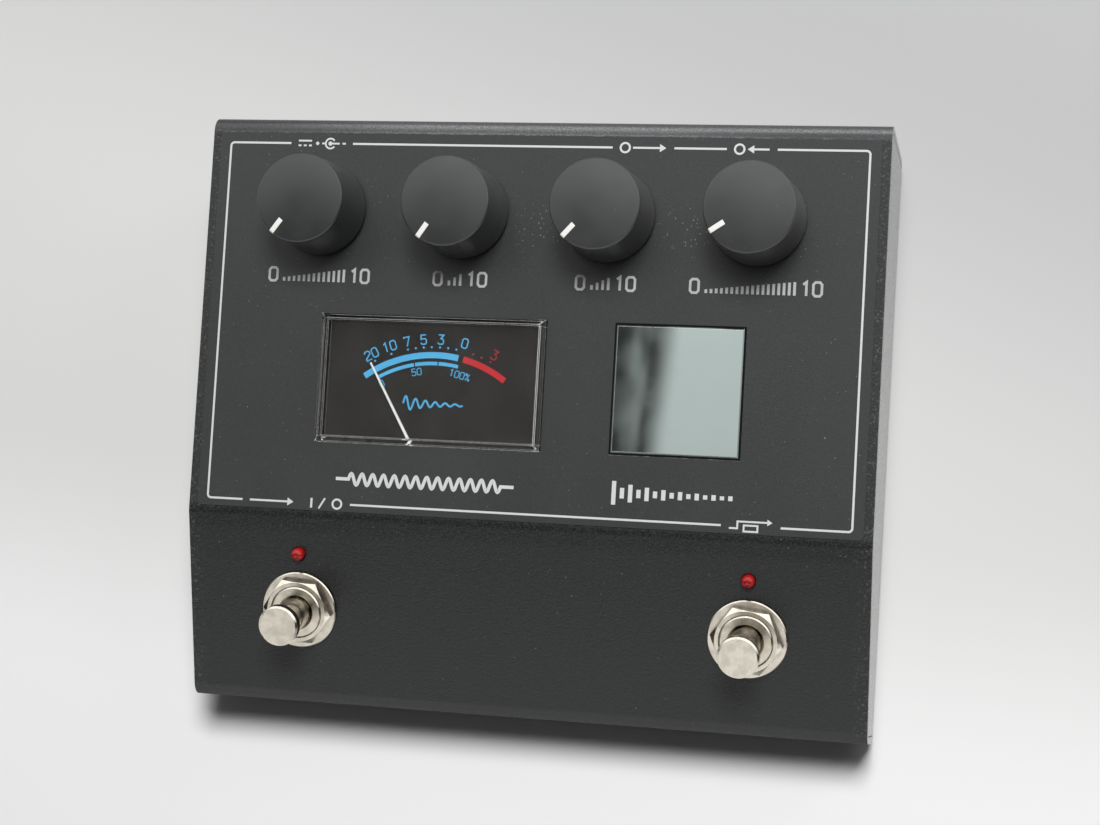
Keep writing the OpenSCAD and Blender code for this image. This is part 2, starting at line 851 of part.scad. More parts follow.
// Layers behind the flange: needle, dial, bridge, coil and magnet
needle_t = 0.3;
needle_drop = 0.7;
needle_z = flange_back - needle_drop;
dial_t = 0.5;
dial_gap = 0.4;
dial_top = needle_z - needle_t / 2 - dial_gap;
hub_cap = 0.3;
bridge_t = 0.8;
bridge_drop = 2.3;
bridge_top = flange_back - bridge_drop;
spindle_d = 1;
coil_r = 4.2;
coil_t = 0.7;
coil_w = 2.4;
coil_gap = 0.3;
coil_top = bridge_top - bridge_t - coil_gap;
magnet_top = coil_top - coil_t;
coil_lift = 0.6;
coil_foot = housing_floor + coil_lift;
module on_meter() {
    on_panel(meter_x, meter_row)
        children();
}
module at_pivot() {
    on_meter()
        translate([0, -pivot_drop, 0])
            children();
}
module on_needle() {
    at_pivot()
        rotate([0, 0, -needle_rest])
            children();
}
module meter_cover() {
    cavity = [meter_w - 2 * meter_wall, meter_h - 2 * meter_wall, meter_face - flange_back - meter_wall];
    color([0.85, 0.9, 0.92, 0.35])
        on_meter()
            difference() {
                union() {
                    bevelled_box([meter_w, meter_h, meter_face - flange_back], meter_bevel, flange_back);
                    translate([0, meter_shift, 0])
                        block([meter_out[0], meter_out[1], meter_flange_t], flange_back);
                }
                block(cavity + [0, 0, over], flange_back - over);
            }
}
module meter_housing() {
    inner = meter_out - [2 * housing_wall, 2 * housing_wall];
    ledge_w = 2.5;
    ledge_t = 1;
    bearing_d = 3;
    dial_foot = dial_top - dial_t;
    color([0.05, 0.05, 0.05])
        on_meter() {
            difference() {
                translate([0, meter_shift, 0])
                    block([meter_out[0], meter_out[1], meter_depth], meter_floor);
                translate([0, meter_shift, 0])
                    block([inner[0], inner[1], meter_depth], housing_floor);
            }
            for (side = [-1, 1])
                translate([side * (inner[0] - ledge_w) / 2, 0, 0])
                    block([ledge_w, meter_h, ledge_t], dial_foot - ledge_t);
            translate([0, -pivot_drop, 0])
                tube(bearing_d, spindle_d + 2 * run_fit, housing_floor, coil_foot - coil_gap);
        }
}
module meter_dial() {
    margin = meter_rim - housing_wall - hole_gap;
    dial = [meter_w + 2 * margin, meter_h + 2 * margin];
    color([0.1, 0.1, 0.1])
        on_meter()
            block([dial[0], dial[1], dial_t], dial_top - dial_t);
}
module meter_magnet() {
    color([0.3, 0.3, 0.32])
        at_pivot()
            tube(magnet_d, magnet_in, housing_floor, magnet_top);
}
module meter_core() {
    core_gap_r = 0.4;
    core_d = 2 * coil_r - coil_t - 2 * core_gap_r;
    shaft_room = 0.5;
    lug_w = 2;
    lug_step = 0.5;
    foot = coil_foot + coil_t + coil_gap;
    head = coil_top - coil_t - coil_gap;
    color("gray")
        at_pivot()
            difference() {
                union() {
                    pin(core_d, foot, head);
                    block([magnet_in - 2 * slip, lug_w, head - foot - 2 * lug_step], foot + lug_step);
                }
                pin(spindle_d + 2 * shaft_room, foot - over, head + over);
            }
}
module meter_bridge() {
    bridge_w = 2.6;
    bridge_step = 0.5;
    bridge_len = magnet_d - 2 * bridge_step;
    foot_w = (magnet_d - magnet_in) / 2;
    color("gold")
        at_pivot()
            difference() {
                union() {
                    block([bridge_len, bridge_w, bridge_t], bridge_top - bridge_t);
                    for (side = [-1, 1])
                        translate([side * (bridge_len - foot_w) / 2, 0, 0])
                            block([foot_w, bridge_w, bridge_top - magnet_top], magnet_top);
                }
                pin(spindle_d + 2 * run_fit, magnet_top, bridge_top + over);
            }
}
module meter_coil() {
    coil_h = coil_top - coil_foot;
    color([0.7, 0.35, 0.15])
        on_needle()
            difference() {
                block([coil_w, 2 * coil_r + coil_t, coil_h], coil_foot);
                block([coil_w + over, 2 * coil_r - coil_t, coil_h - 2 * coil_t], coil_foot + coil_t);
                pin(spindle_d + 2 * slip, coil_foot - over, coil_top + over);
            }
}
module meter_spindle() {
    color("silver")
        on_needle()
            pin(spindle_d, housing_floor + slip, needle_z + hub_cap);
}
module meter_needle() {
    hub_d = 2.8;
    tail = 4.5;
    color("white")
        on_needle()
            difference() {
                union() {
                    translate([0, 0, needle_z - needle_t / 2])
                        linear_extrude(needle_t)
                            polygon([
                                [-needle_w, -tail], [needle_w, -tail],
                                [needle_w / 2, needle_len], [-needle_w / 2, needle_len]
                            ]);
                    pin(hub_d, bridge_top + coil_gap, needle_z + hub_cap);
                }
                pin(spindle_d + 2 * slip, bridge_top, needle_z + over);
            }
}

// Window
window_face = overlay_t + window_proud;
glass_back = window_face - glass_t;
glass_w = window_w - 2 * seal_w - 2 * slip;
module on_window() {
    on_panel(window_x, meter_row)
        children();
}
module window_glass() {
    bevel = 0.3;
    color([0.6, 0.7, 0.7])
        on_window()
            bevelled_box([glass_w, glass_w, glass_t], bevel, glass_back);
}
module window_seal() {
    outer = window_w - 2 * slip;
    inner = window_w - 2 * seal_w;
    color([0.02, 0.02, 0.02])
        on_window()
            difference() {
                block([outer, outer, sheet_t + overlay_t], -sheet_t);
                block([inner, inner, sheet_t + overlay_t + 2 * over], -sheet_t - over);
            }
}
module window_bracket() {
    rim = 3.5;
    ledge = 1.6;
    back_t = 1.5;
    outer = window_w + 2 * rim;
    back = min(glass_back, -sheet_t) - back_t;
    color([0.08, 0.08, 0.08])
        on_window()
            difference() {
                block([outer, outer, -sheet_t - back], back);
                block([glass_w + 2 * slip, glass_w + 2 * slip, over - glass_back], glass_back);
                block([glass_w - 2 * ledge, glass_w - 2 * ledge, 2 * back_t + over], back - over);
            }
}

// Boards, measured on the panel and in the case
board_w = case_w - 2 * board_inset;
module main_board() {
    length = board_front + board_back;
    color([0.05, 0.3, 0.15])
        on_panel(0, knob_v + (board_back - board_front) / 2)
            block([board_w, length, board_t], pot_back - board_t);
}
module board_components() {
    chip = [5, 4, 1.6];
    chip_v = 1;
    can_d = 4.5;
    can_h = 4;
    can_edge = 1;
    board_back_z = pot_back - board_t;
    color([0.12, 0.12, 0.13])
        on_panel(0, knob_v) {
            for (x = knob_x)
                translate([x + knob_pitch / 4, chip_v, 0])
                    block(chip, board_back_z - chip[2]);
            for (x = knob_x)
                translate([x, can_edge - board_front + can_d / 2, 0])
                    pin(can_d, board_back_z - can_h, board_back_z);
        }
}
socket_top = socket_z + socket_h / 2;
power_body_w = 9;
module jack_board() {
    side_edge = 6;
    wall_gap = 2;
    front_step = 6;
    left = power_x - power_body_w / 2 - side_edge;
    right = input_x + socket_w / 2 + side_edge;
    length = socket_depth - wall_gap - front_step;
    color([0.05, 0.3, 0.15])
        in_case()
            translate([(left + right) / 2, case_d - sheet_t - wall_gap - length / 2, 0])
                block([right - left, length, board_t], socket_top);
}

// Sockets, measured along their axis from the case's back face
module jack(x) {
    chamfer = 0.4;
    inner_face = -sheet_t;
    color([0.08, 0.08, 0.08])
        on_back(x, socket_z)
            difference() {
                union() {
                    block([socket_w, socket_h, socket_depth], inner_face - socket_depth);
                    rotate_extrude()
                        polygon([
                            [0, inner_face], [nose_d / 2, inner_face], [nose_d / 2, socket_proud - chamfer],
                            [nose_d / 2 - chamfer, socket_proud], [0, socket_proud]
                        ]);
                }
                pin(plug_bore_d, socket_proud - plug_depth, socket_proud + over);
            }
}
module jack_nuts() {
    color("silver")
        for (x = jack_x)
            on_back(x, socket_z)
                difference() {
                    hexagon(socket_nut_af, 0, socket_nut_h);
                    pin(nose_d + 2 * slip, -over, socket_nut_h + over);
                }
}
power_wall = 1.2;
power_nose_d = power_bore_d + 2 * power_wall;
module dc_jack() {
    body_depth = 13;
    bore_depth = 9.5;
    nose_proud = 0.6;
    pin_step = 1;
    below = 5;
    color([0.06, 0.06, 0.06])
        on_back(power_x, socket_z) {
            difference() {
                union() {
                    translate([-power_body_w / 2, -socket_h / 2, -sheet_t - body_depth])
                        cube([power_body_w, socket_h / 2 + below, body_depth]);
                    pin(power_nose_d, -sheet_t, nose_proud);
                }
                pin(power_bore_d, nose_proud - bore_depth, nose_proud + over);
            }
            pin(power_pin_d, nose_proud - bore_depth - over, nose_proud - pin_step);
        }
}

// Reverb tank, measured from its middle on the tray's floor
tank_len = case_w - 2 * (tray_t + tank_end_gap);
tank_floor = pad_h + tank_t;
core_inset = 12;
core_place = tank_len / 2 - core_inset;
spring_z = tank_floor + core_t + core_gap / 2;
bead_face = tank_len / 2 - tank_t - bead_len;
core_w = 5;
limb_w = 2.6;
limb_gap = 2.2;
winding = 1.6;
core_front = spring_pitch + bead_d;
limb_y = core_front + limb_w / 2 + limb_gap;
coil_back = limb_y + limb_w / 2 + winding;
// Springs, cores and coils sit between the tank's walls as one group
row_y = (core_front - coil_back) / 2;
module in_tank() {
    in_case()
        translate([0, crease[0] + tank_row, tray_t])
            children();
}
module in_row() {
    in_tank()
        translate([0, row_y, 0])
            children();
}
module tank_pads() {
    pad_w = 10;
    color([0.05, 0.05, 0.05])
        in_tank()
            for (x = [-1, 1], y = [-1, 1])
                translate([x * (tank_len / 2 - pad_w), y * (tank_w / 2 - pad_w / 2), 0])
                    block([pad_w, pad_w, pad_h], 0);
}
module tank_channel() {
    color([0.7, 0.7, 0.72])
        in_tank()
            difference() {
                block([tank_len, tank_w, tank_h], pad_h);
                block([tank_len - 2 * tank_t, tank_w - 2 * tank_t, tank_h], tank_floor);
            }
}
reverb_spring = helix(spring_d / 2, 0, spring_curls, -bead_face, bead_face, wire_d);
module tank_springs() {
    color([0.75, 0.75, 0.77])
        in_row()
            for (i = [-1, 0, 1])
                translate([0, i * spring_pitch, spring_z])
                    rotate([0, 90, 0])
                        wire(reverb_spring, wire_d);
}
module tank_magnets() {
    color([0.25, 0.25, 0.27])
        in_row()
            for (side = [-1, 1], i = [-1, 0, 1])
                translate([0, i * spring_pitch, spring_z])
                    rotate([0, side * 90, 0])
                        pin(bead_d, bead_face, tank_len / 2 - tank_t);
}
module transducer_core(side) {
    bar = [core_w, core_front + limb_y + limb_w / 2, core_t];
    color([0.45, 0.45, 0.47])
        in_row()
            translate([side * core_place, 0, tank_floor]) {
                for (z = [0, core_t + core_gap])
                    translate([-core_w / 2, -core_front, z])
                        cube(bar);
                translate([-core_w / 2, limb_y - limb_w / 2, 0])
                    cube([core_w, limb_w, 2 * core_t + core_gap]);
            }
}
module transducer_coil(side) {
    size = [core_w + 2 * winding, limb_w + 2 * winding, core_gap - 2 * slip];
    color([0.65, 0.3, 0.1])
        in_row()
            translate([side * core_place, limb_y, tank_floor + core_t])
                difference() {
                    block(size, slip);
                    block([core_w + 2 * slip, limb_w + 2 * slip, core_gap + over], -over / 2);
                }
}

echo(button_spring_gap = least_gap(button_spring, spring_wire_d, curl_steps / 2));
echo(reverb_spring_gap = least_gap(reverb_spring, wire_d, curl_steps / 2));

top_cover();
base_tray();
panel_overlay();
base_screws();
rubber_feet();
knob(0);  // knob_drive
knob(1);  // knob_bass
knob(2);  // knob_treble
knob(3);  // knob_volume
pointer(0);  // pointer_drive
pointer(1);  // pointer_bass
pointer(2);  // pointer_treble
pointer(3);  // pointer_volume
pot_shaft(0);  // pot_shaft_drive
pot_shaft(1);  // pot_shaft_bass
pot_shaft(2);  // pot_shaft_treble
pot_shaft(3);  // pot_shaft_volume
pot_bodies();
pot_nuts();
led(0);  // led_left
led(1);  // led_right
switch_body(0);  // switch_body_left
switch_body(1);  // switch_body_right
switch_bushing(0);  // switch_bushing_left
switch_bushing(1);  // switch_bushing_right
switch_button(0);  // switch_button_left
switch_button(1);  // switch_button_right
switch_spring(0);  // switch_spring_left
switch_spring(1);  // switch_spring_right
switch_washers();
switch_nuts();
switch_lock_nuts();
meter_cover();
meter_housing();
meter_dial();
meter_magnet();
meter_core();
meter_bridge();
meter_coil();
meter_spindle();
meter_needle();
window_glass();
window_seal();
window_bracket();
tank_channel();
tank_springs();
transducer_core(-1);  // tank_drive_core
transducer_coil(-1);  // tank_drive_coil
transducer_core(1);  // tank_pickup_core
transducer_coil(1);  // tank_pickup_coil
tank_magnets();
tank_pads();
main_board();
board_components();
jack_board();
jack(input_x);  // input_jack
jack(output_x);  // output_jack
jack_nuts();
dc_jack();
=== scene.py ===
"""Looks of a spring reverb floor unit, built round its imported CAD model, in metres."""
import json
import math

import bpy
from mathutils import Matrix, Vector


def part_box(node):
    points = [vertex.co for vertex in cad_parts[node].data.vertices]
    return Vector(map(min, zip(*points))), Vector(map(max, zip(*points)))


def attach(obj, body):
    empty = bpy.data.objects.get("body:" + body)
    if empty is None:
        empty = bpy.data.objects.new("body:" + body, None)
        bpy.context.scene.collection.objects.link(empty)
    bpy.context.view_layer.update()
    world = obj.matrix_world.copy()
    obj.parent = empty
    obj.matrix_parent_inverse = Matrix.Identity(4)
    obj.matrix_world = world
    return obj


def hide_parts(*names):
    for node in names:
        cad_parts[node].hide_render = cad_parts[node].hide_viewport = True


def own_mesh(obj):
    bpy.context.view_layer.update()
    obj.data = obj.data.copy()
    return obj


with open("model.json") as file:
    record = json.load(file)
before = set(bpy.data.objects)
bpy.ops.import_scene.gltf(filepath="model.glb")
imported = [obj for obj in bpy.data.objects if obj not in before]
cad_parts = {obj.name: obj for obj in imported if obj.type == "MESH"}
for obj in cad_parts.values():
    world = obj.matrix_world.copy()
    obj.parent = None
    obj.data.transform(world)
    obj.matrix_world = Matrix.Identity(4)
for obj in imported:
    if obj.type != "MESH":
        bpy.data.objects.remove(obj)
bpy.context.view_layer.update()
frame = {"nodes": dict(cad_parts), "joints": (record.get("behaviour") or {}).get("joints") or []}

MM = 0.001
RIGHT = Vector((1, 0, 0))
BACK = Vector((0, 1, 0))

# Places taken from the frame
joints = {joint["name"]: joint for joint in frame["joints"]}
panel_up = -Vector(joints["bass_turn"]["axis"]).normalized()
panel_back = panel_up.cross(RIGHT)
deck_up = -Vector(joints["left_press"]["axis"]).normalized()
deck_back = deck_up.cross(RIGHT)
knob_joints = [joints[name] for name in ("drive_turn", "bass_turn", "treble_turn", "volume_turn")]
knob_row = sum((Vector(joint["pos_m"]) for joint in knob_joints), Vector()) / len(knob_joints)
needle_pivot = Vector(joints["needle_swing"]["pos_m"])


def span(node, axis):
    """Lowest and highest reach of a CAD node along an axis."""
    reach = [vertex.co.dot(axis) for vertex in frame["nodes"][node].data.vertices]
    return min(reach), max(reach)


def middle(node, axis):
    """Middle of a CAD node along an axis."""
    return sum(span(node, axis)) / 2


class Plane:
    """A face of the object, in millimetres to the right, up its slope and above it."""

    def __init__(self, origin, up, back, node):
        self.up = up
        self.back = back
        self.origin = origin + up * (span(node, up)[1] - origin.dot(up))

    def point(self, x, y, z):
        return self.origin + (RIGHT * x + self.back * y + self.up * z) * MM


panel = Plane(knob_row, panel_up, panel_back, "panel_overlay")
dial = Plane(needle_pivot, panel_up, panel_back, "meter_dial")
window_x = middle("window_glass", RIGHT) / MM
meter_x = middle("meter_dial", RIGHT) / MM


# Camera at the photograph's viewing angle
CAMERA_PLACE = (0.11113, -0.05323, 0.48543)
CAMERA_TURN = (7.361, 12.686, 4.055)
CAMERA_LENS = 68.73


def add_camera():
    camera = bpy.data.objects.new("camera", bpy.data.cameras.new("camera"))
    camera.data.lens = CAMERA_LENS
    camera.data.clip_start = 0.01
    camera.location = CAMERA_PLACE
    camera.rotation_euler = [math.radians(angle) for angle in CAMERA_TURN]
    bpy.context.scene.collection.objects.link(camera)
    bpy.context.scene.camera = camera


# Node trees
class Tree:
    """A node tree, with short calls for the nodes that the finishes share."""

    def __init__(self, tree):
        self.tree = tree
        self.tree.nodes.clear()

    def node(self, kind, **settings):
        node = self.tree.nodes.new(kind)
        for name, value in settings.items():
            setattr(node, name, value)
        return node

    def feed(self, socket, value):
        """Sets a socket to a plain value or links it to another node's output."""
        if isinstance(value, bpy.types.NodeSocket):
            self.tree.links.new(value, socket)
        else:
            socket.default_value = value

    def math(self, operation, a, b=0.0):
        node = self.node("ShaderNodeMath", operation=operation)
        self.feed(node.inputs[0], a)
        self.feed(node.inputs[1], b)
        return node.outputs[0]

    def times(self, first, *others):
        """Multiplies values together."""
        product = first
        for other in others:
            product = self.math("MULTIPLY", product, other)
        return product

    def ramp(self, value, stops):
        """Maps a value to the levels of a list of stops."""
        node = self.node("ShaderNodeFloatCurve")
        self.feed(node.inputs["Value"], value)
        points = node.mapping.curves[0].points
        while len(points) < len(stops):
            points.new(0.5, 0.5)
        for point, place in zip(points, stops):
            point.location = place
        node.mapping.update()
        return node.outputs[0]

    def vector(self, operation, a, b=(0, 0, 0)):
        node = self.node("ShaderNodeVectorMath", operation=operation)
        self.feed(node.inputs[0], a)
        self.feed(node.inputs[1], b)
        return node.outputs["Value" if operation in ("DOT_PRODUCT", "LENGTH") else "Vector"]

    def grade(self, value, low, high, to_low=0.0, to_high=1.0):
        """Maps a range of values smoothly onto another."""
        node = self.node("ShaderNodeMapRange", interpolation_type="SMOOTHSTEP")
        for socket, number in zip(node.inputs, (value, low, high, to_low, to_high)):
            self.feed(socket, number)
        return node.outputs[0]

    def blend(self, share, a, b):
        """Mixes two colours."""
        node = self.node("ShaderNodeMix", data_type="RGBA")
        self.feed(node.inputs["Factor"], share)
        for socket, colour in zip((node.inputs[6], node.inputs[7]), (a, b)):
            self.feed(socket, (*colour, 1) if isinstance(colour, tuple) else colour)
        return node.outputs[2]

    def noise(self, size, detail=2.0, place=None):
        """Noise whose lumps are about size metres wide."""
        node = self.node("ShaderNodeTexNoise")
        self.feed(node.inputs["Vector"], place or self.place)
        self.feed(node.inputs["Scale"], 1 / size)
        self.feed(node.inputs["Detail"], detail)
        return node.outputs["Fac"]


BEVEL_SAMPLES = 6
DUST_PATCH = 16 * MM


class Finish(Tree):
    """One material, with the wear and grain that several finishes use."""

    def __init__(self, name, **values):
        self.material = bpy.data.materials.get(name) or bpy.data.materials.new(name)
        self.material.use_nodes = True
        super().__init__(self.material.node_tree)
        self.shader = self.node("ShaderNodeBsdfPrincipled")
        self.output = self.node("ShaderNodeOutputMaterial")
        self.surface(self.shader.outputs["BSDF"])
        self.place = self.node("ShaderNodeTexCoord").outputs["Object"]
        self.normal = self.node("ShaderNodeNewGeometry").outputs["Normal"]
        self.set(**values)

    def surface(self, shader):
        self.tree.links.new(shader, self.output.inputs["Surface"])

    def set(self, **values):
        """Sets the shader's sockets, named with underscores."""
        for name, value in values.items():
            self.feed(self.shader.inputs[name.replace("_", " ")], value)

    def along(self, axis):
        """How far a place lies along an axis."""
        return self.vector("DOT_PRODUCT", self.place, tuple(axis))

    def lean(self, axis):
        """One where the surface faces along an axis, minus one where it faces the other way."""
        return self.vector("DOT_PRODUCT", self.normal, tuple(axis))

    def stretched(self, scale):
        """Object coordinates, scaled along each axis."""
        return self.vector("MULTIPLY", self.place, scale)

    def specks(self, spacing, size):
        """Scattered specks, about size metres wide."""
        node = self.node("ShaderNodeTexVoronoi")
        self.feed(node.inputs["Vector"], self.place)
        self.feed(node.inputs["Scale"], 1 / spacing)
        return self.grade(node.outputs["Distance"], 0.5 * size / spacing, 0.25 * size / spacing)

    def dust(self, spacing, size, cover):
        """Specks that gather in patches."""
        patch = self.grade(self.noise(DUST_PATCH, 3), 0.4, 0.65, 0.15, cover)
        return self.times(self.specks(spacing, size), patch)

    def rounded(self, radius):
        """The surface normal with its edges rounded off."""
        bevel = self.node("ShaderNodeBevel", samples=BEVEL_SAMPLES)
        self.feed(bevel.inputs["Radius"], radius)
        return bevel.outputs["Normal"]

    def edges(self, radius):
        """One on sharp edges, zero on flat faces."""
        return self.grade(self.vector("DOT_PRODUCT", self.rounded(radius), self.normal), 0.995, 0.9)

    def facing(self, axis, low, high):
        """Zero to one as the surface's lean along an axis goes from low to high."""
        return self.grade(self.lean(axis), low, high)

    def near(self, point, inner, outer):
        """One close to a point, fading out to zero."""
        offset = self.vector("SUBTRACT", self.place, tuple(point))
        return self.grade(self.vector("LENGTH", offset), outer, inner)

    def bump(self, height, depth, strength=1.0, normal=None):
        node = self.node("ShaderNodeBump")
        self.feed(node.inputs["Height"], height)
        self.feed(node.inputs["Distance"], depth)
        self.feed(node.inputs["Strength"], strength)
        if normal:
            self.feed(node.inputs["Normal"], normal)
        self.set(Normal=node.outputs["Normal"])


DUST = (0.42, 0.42, 0.41)
# Dusty places on the panel, in millimetres from the middle of the knob row
DUST_SPOTS = ((1.5, -3.5), (34.0, -3.0))

# Dust and a painted highlight on the back bend, by its way from the overlay to the back
BEND_DUST_HIGHLIGHT_REACH = 3.4 * MM
BEND_DUST_AND_HIGHLIGHT_BANDS = (
    (0.0, 0.6), (0.06, 0.6), (0.19, 0.34), (0.315, 0.51), (0.435, 0.86),
    (0.52, 1.0), (0.6, 0.91), (0.695, 0.5), (0.8, 0.28), (1.0, 0.05),
)
BEND_DUST_AND_HIGHLIGHT = (0.25, 0.25, 0.259)

# Stretches to the right of the case's middle where the back bend's dust and painted highlight thicken and
# where they are wiped off, and on both sides of it where the rim is chipped
THICKENING = (-74 * MM, -22 * MM)
WIPED_OFF = (25 * MM, 60 * MM)
CHIPPED_RIM = (73.5 * MM, 77 * MM)

# Colours of the case's paint, with a painted shade for the crease and a painted highlight for the front
# bend
BLACK_PAINT = (0.0085, 0.0095, 0.0092)
CLOUDY_PAINT = (0.0120, 0.0130, 0.0127)
FRONTWARD_GREY_PAINT = (0.022, 0.0235, 0.023)
CREASE_SHADE = (0.002, 0.0024, 0.0022)
SLOPE_GREY_PAINT = (0.036, 0.038, 0.0375)
PAINT_FLECKS = (0.024, 0.026, 0.0255)
WORN_PAINT = (0.18, 0.18, 0.18)
FRONT_BEND_HIGHLIGHT = (0.085, 0.087, 0.086)


def paint_tone(coat, flat):
    """Black paint, greyer towards the front of the deck and on the panel's slope beside the overlay, with
    painted shade along the crease.
    """
    slope = coat.along(deck_back)
    fold = span("panel_overlay", deck_back)[0]
    paint = coat.blend(coat.noise(14 * MM, 3), BLACK_PAINT, CLOUDY_PAINT)
    # The paint turns greyer from the crease towards the front of the deck.
    frontward = coat.grade(slope, fold - 5 * MM, fold - 40 * MM, 0.0, 0.35)
    frontward_greyed = coat.blend(frontward, paint, FRONTWARD_GREY_PAINT)
    # Painted shade: a dark band along the crease where the deck meets the panel.
    fade_in = coat.grade(slope, fold - 6.5 * MM, fold - 3.5 * MM)
    fade_out = coat.grade(slope, fold - 0.8 * MM, fold - 2.6 * MM)
    crease_shaded = coat.blend(coat.times(fade_in, fade_out, 0.75), frontward_greyed, CREASE_SHADE)
    # The paint is greyer on the panel's slope beside the overlay.
    margin = coat.grade(slope, fold - 1 * MM, fold + 1 * MM, 0.0, 0.6)
    return coat.blend(coat.times(flat, margin), crease_shaded, SLOPE_GREY_PAINT)


def paint_wear(coat, flat, across):
    """How far the paint is gone along edges and at the panel's sides."""
    rubbed = coat.times(coat.edges(0.5 * MM), coat.grade(coat.noise(2 * MM, 4), 0.45, 0.7), 0.5)
    rim = coat.grade(coat.math("ABSOLUTE", across), *CHIPPED_RIM)
    chips = coat.grade(coat.noise(0.6 * MM, 3), 0.56, 0.68, 0.0, 0.35)
    return coat.math("MAXIMUM", rubbed, coat.times(rim, chips, flat))


def bend_dust_and_highlight(coat, across):
    """How thick the dust and the painted highlight lie behind the overlay."""
    reach = coat.along(panel_back)
    edge = span("panel_overlay", panel_back)[1]
    way = coat.math("DIVIDE", coat.math("SUBTRACT", reach, edge), BEND_DUST_HIGHLIGHT_REACH)
    beside = coat.grade(reach, edge + 1.6 * MM, edge + 1.05 * MM)
    wiped = coat.times(coat.grade(across, *WIPED_OFF), beside, 0.7)
    return coat.times(
        coat.grade(reach, edge - 0.4 * MM, edge + 0.1 * MM),
        coat.ramp(way, BEND_DUST_AND_HIGHLIGHT_BANDS),
        coat.math("SUBTRACT", 1.0, wiped),
        coat.grade(across, *THICKENING, 0.2, 1.0),
        coat.grade(coat.noise(0.3 * MM, 3), 0.36, 0.64, 0.4, 1.0),
        coat.facing(panel_up, 0.0, 0.25),
    )


def powder_coat(name):
    """Textured black paint on folded steel, rubbed along its edges, dusty along its back bend, with
    painted highlights on both bends.
    """
    coat = Finish(name)
    grain = coat.noise(0.46 * MM, 3)
    across = coat.along(RIGHT)
    flat = coat.facing(panel_up, 0.6, 0.9)
    ahead = coat.lean(-BACK)
    flecked = coat.blend(coat.grade(grain, 0.45, 0.72), paint_tone(coat, flat), PAINT_FLECKS)
    worn = coat.blend(paint_wear(coat, flat, across), flecked, WORN_PAINT)
    # Dust with a painted highlight across the back bend.
    dusty_highlit = coat.blend(bend_dust_and_highlight(coat, across), worn, BEND_DUST_AND_HIGHLIGHT)
    # Painted highlight: the front bend is lightened where it turns from the deck to the front.
    front_bend_highlight = coat.times(coat.grade(ahead, 0.32, 0.8), coat.grade(ahead, 0.98, 0.85, 0.0, 0.8))
    front_highlit = coat.blend(front_bend_highlight, dusty_highlit, FRONT_BEND_HIGHLIGHT)
    coat.set(Base_Color=coat.blend(coat.dust(3 * MM, 0.32 * MM, 0.5), front_highlit, DUST))
    front = coat.grade(ahead, 0.35, 0.75)
    side = coat.math("ABSOLUTE", coat.lean(RIGHT))
    sheen = coat.grade(grain, 0.35, 0.65, 0.25, 0.4)
    matt = coat.math("ADD", sheen, coat.times(front, 0.3))
    coat.set(Roughness=coat.math("SUBTRACT", matt, coat.grade(side, 0.8, 1.0, 0.0, 0.22)))
    coat.set(Specular_IOR_Level=coat.grade(front, 0.0, 1.0, 0.48, 0.3))
    coat.bump(grain, 0.06 * MM, 1.0, coat.rounded(0.3 * MM))


def overlay_film(name):
    """Smooth matt film with faint smears and dust, and a ragged pale line where its edge faces the back.
    """
    film = Finish(name, Specular_IOR_Level=0.6)
    smear = film.noise(22 * MM, 3, film.stretched((1, 0.45, 1)))
    grain = film.noise(0.4 * MM, 2)
    tint = film.blend(smear, (0.0245, 0.0260, 0.0255), (0.0300, 0.0315, 0.0310))
    flecked = film.blend(film.grade(grain, 0.4, 0.75), tint, (0.037, 0.039, 0.0385))
    dust = film.math("MAXIMUM", film.dust(6 * MM, 0.36 * MM, 0.7), film.dust(1.7 * MM, 0.24 * MM, 0.6))
    for x, y in DUST_SPOTS:
        spot = film.times(film.near(panel.point(x, y, 0), 2 * MM, 9 * MM), 0.7)
        dust = film.math("MAXIMUM", dust, film.times(film.specks(0.9 * MM, 0.3 * MM), spot))
    dusted = film.blend(dust, flecked, DUST)
    turned = film.vector("DOT_PRODUCT", film.rounded(0.25 * MM), tuple(panel_back))
    back = film.grade(turned, 0.25, 0.6)
    ragged = film.grade(film.noise(1.5 * MM, 3), 0.45, 0.7, 0.1, 0.9)
    film.set(Base_Color=film.blend(film.times(back, ragged), dusted, (0.4, 0.4, 0.4)))
    film.set(Roughness=film.grade(smear, 0.3, 0.75, 0.36, 0.46))
    film.bump(grain, 0.02 * MM, 0.8)


# Way to the right of the case's middle along which the knobs are painted lighter, as painted light
RIGHTWARD_LIGHTENING = (-65 * MM, 15 * MM)


def soft_touch(name):
    """Rubbery black knob, lighter along its rim, partly as wear and partly as a painted highlight."""
    knob = Finish(name, Specular_IOR_Level=0.85)
    grain = knob.noise(0.2 * MM, 1)
    cloud = knob.noise(5 * MM, 3)
    tint = knob.blend(cloud, (0.014, 0.015, 0.0153), (0.020, 0.021, 0.0213))
    # Painted light: the knobs are painted lighter towards the right.
    rightward = knob.grade(knob.along(RIGHT), *RIGHTWARD_LIGHTENING, 0.0, 0.45)
    lightened_rightward = knob.blend(rightward, tint, (0.046, 0.047, 0.047))
    # The rim is lighter, partly as wear and partly as a painted highlight.
    rim = knob.blend(knob.times(knob.edges(0.3 * MM), 0.5), lightened_rightward, (0.07, 0.072, 0.072))
    knob.set(Base_Color=knob.blend(knob.dust(3 * MM, 0.24 * MM, 0.4), rim, DUST))
    knob.set(Sheen_Weight=0.05, Sheen_Roughness=0.4)
    knob.set(Roughness=knob.grade(cloud, 0.3, 0.7, 0.28, 0.36))
    knob.bump(grain, 0.01 * MM, 0.6, knob.rounded(0.12 * MM))


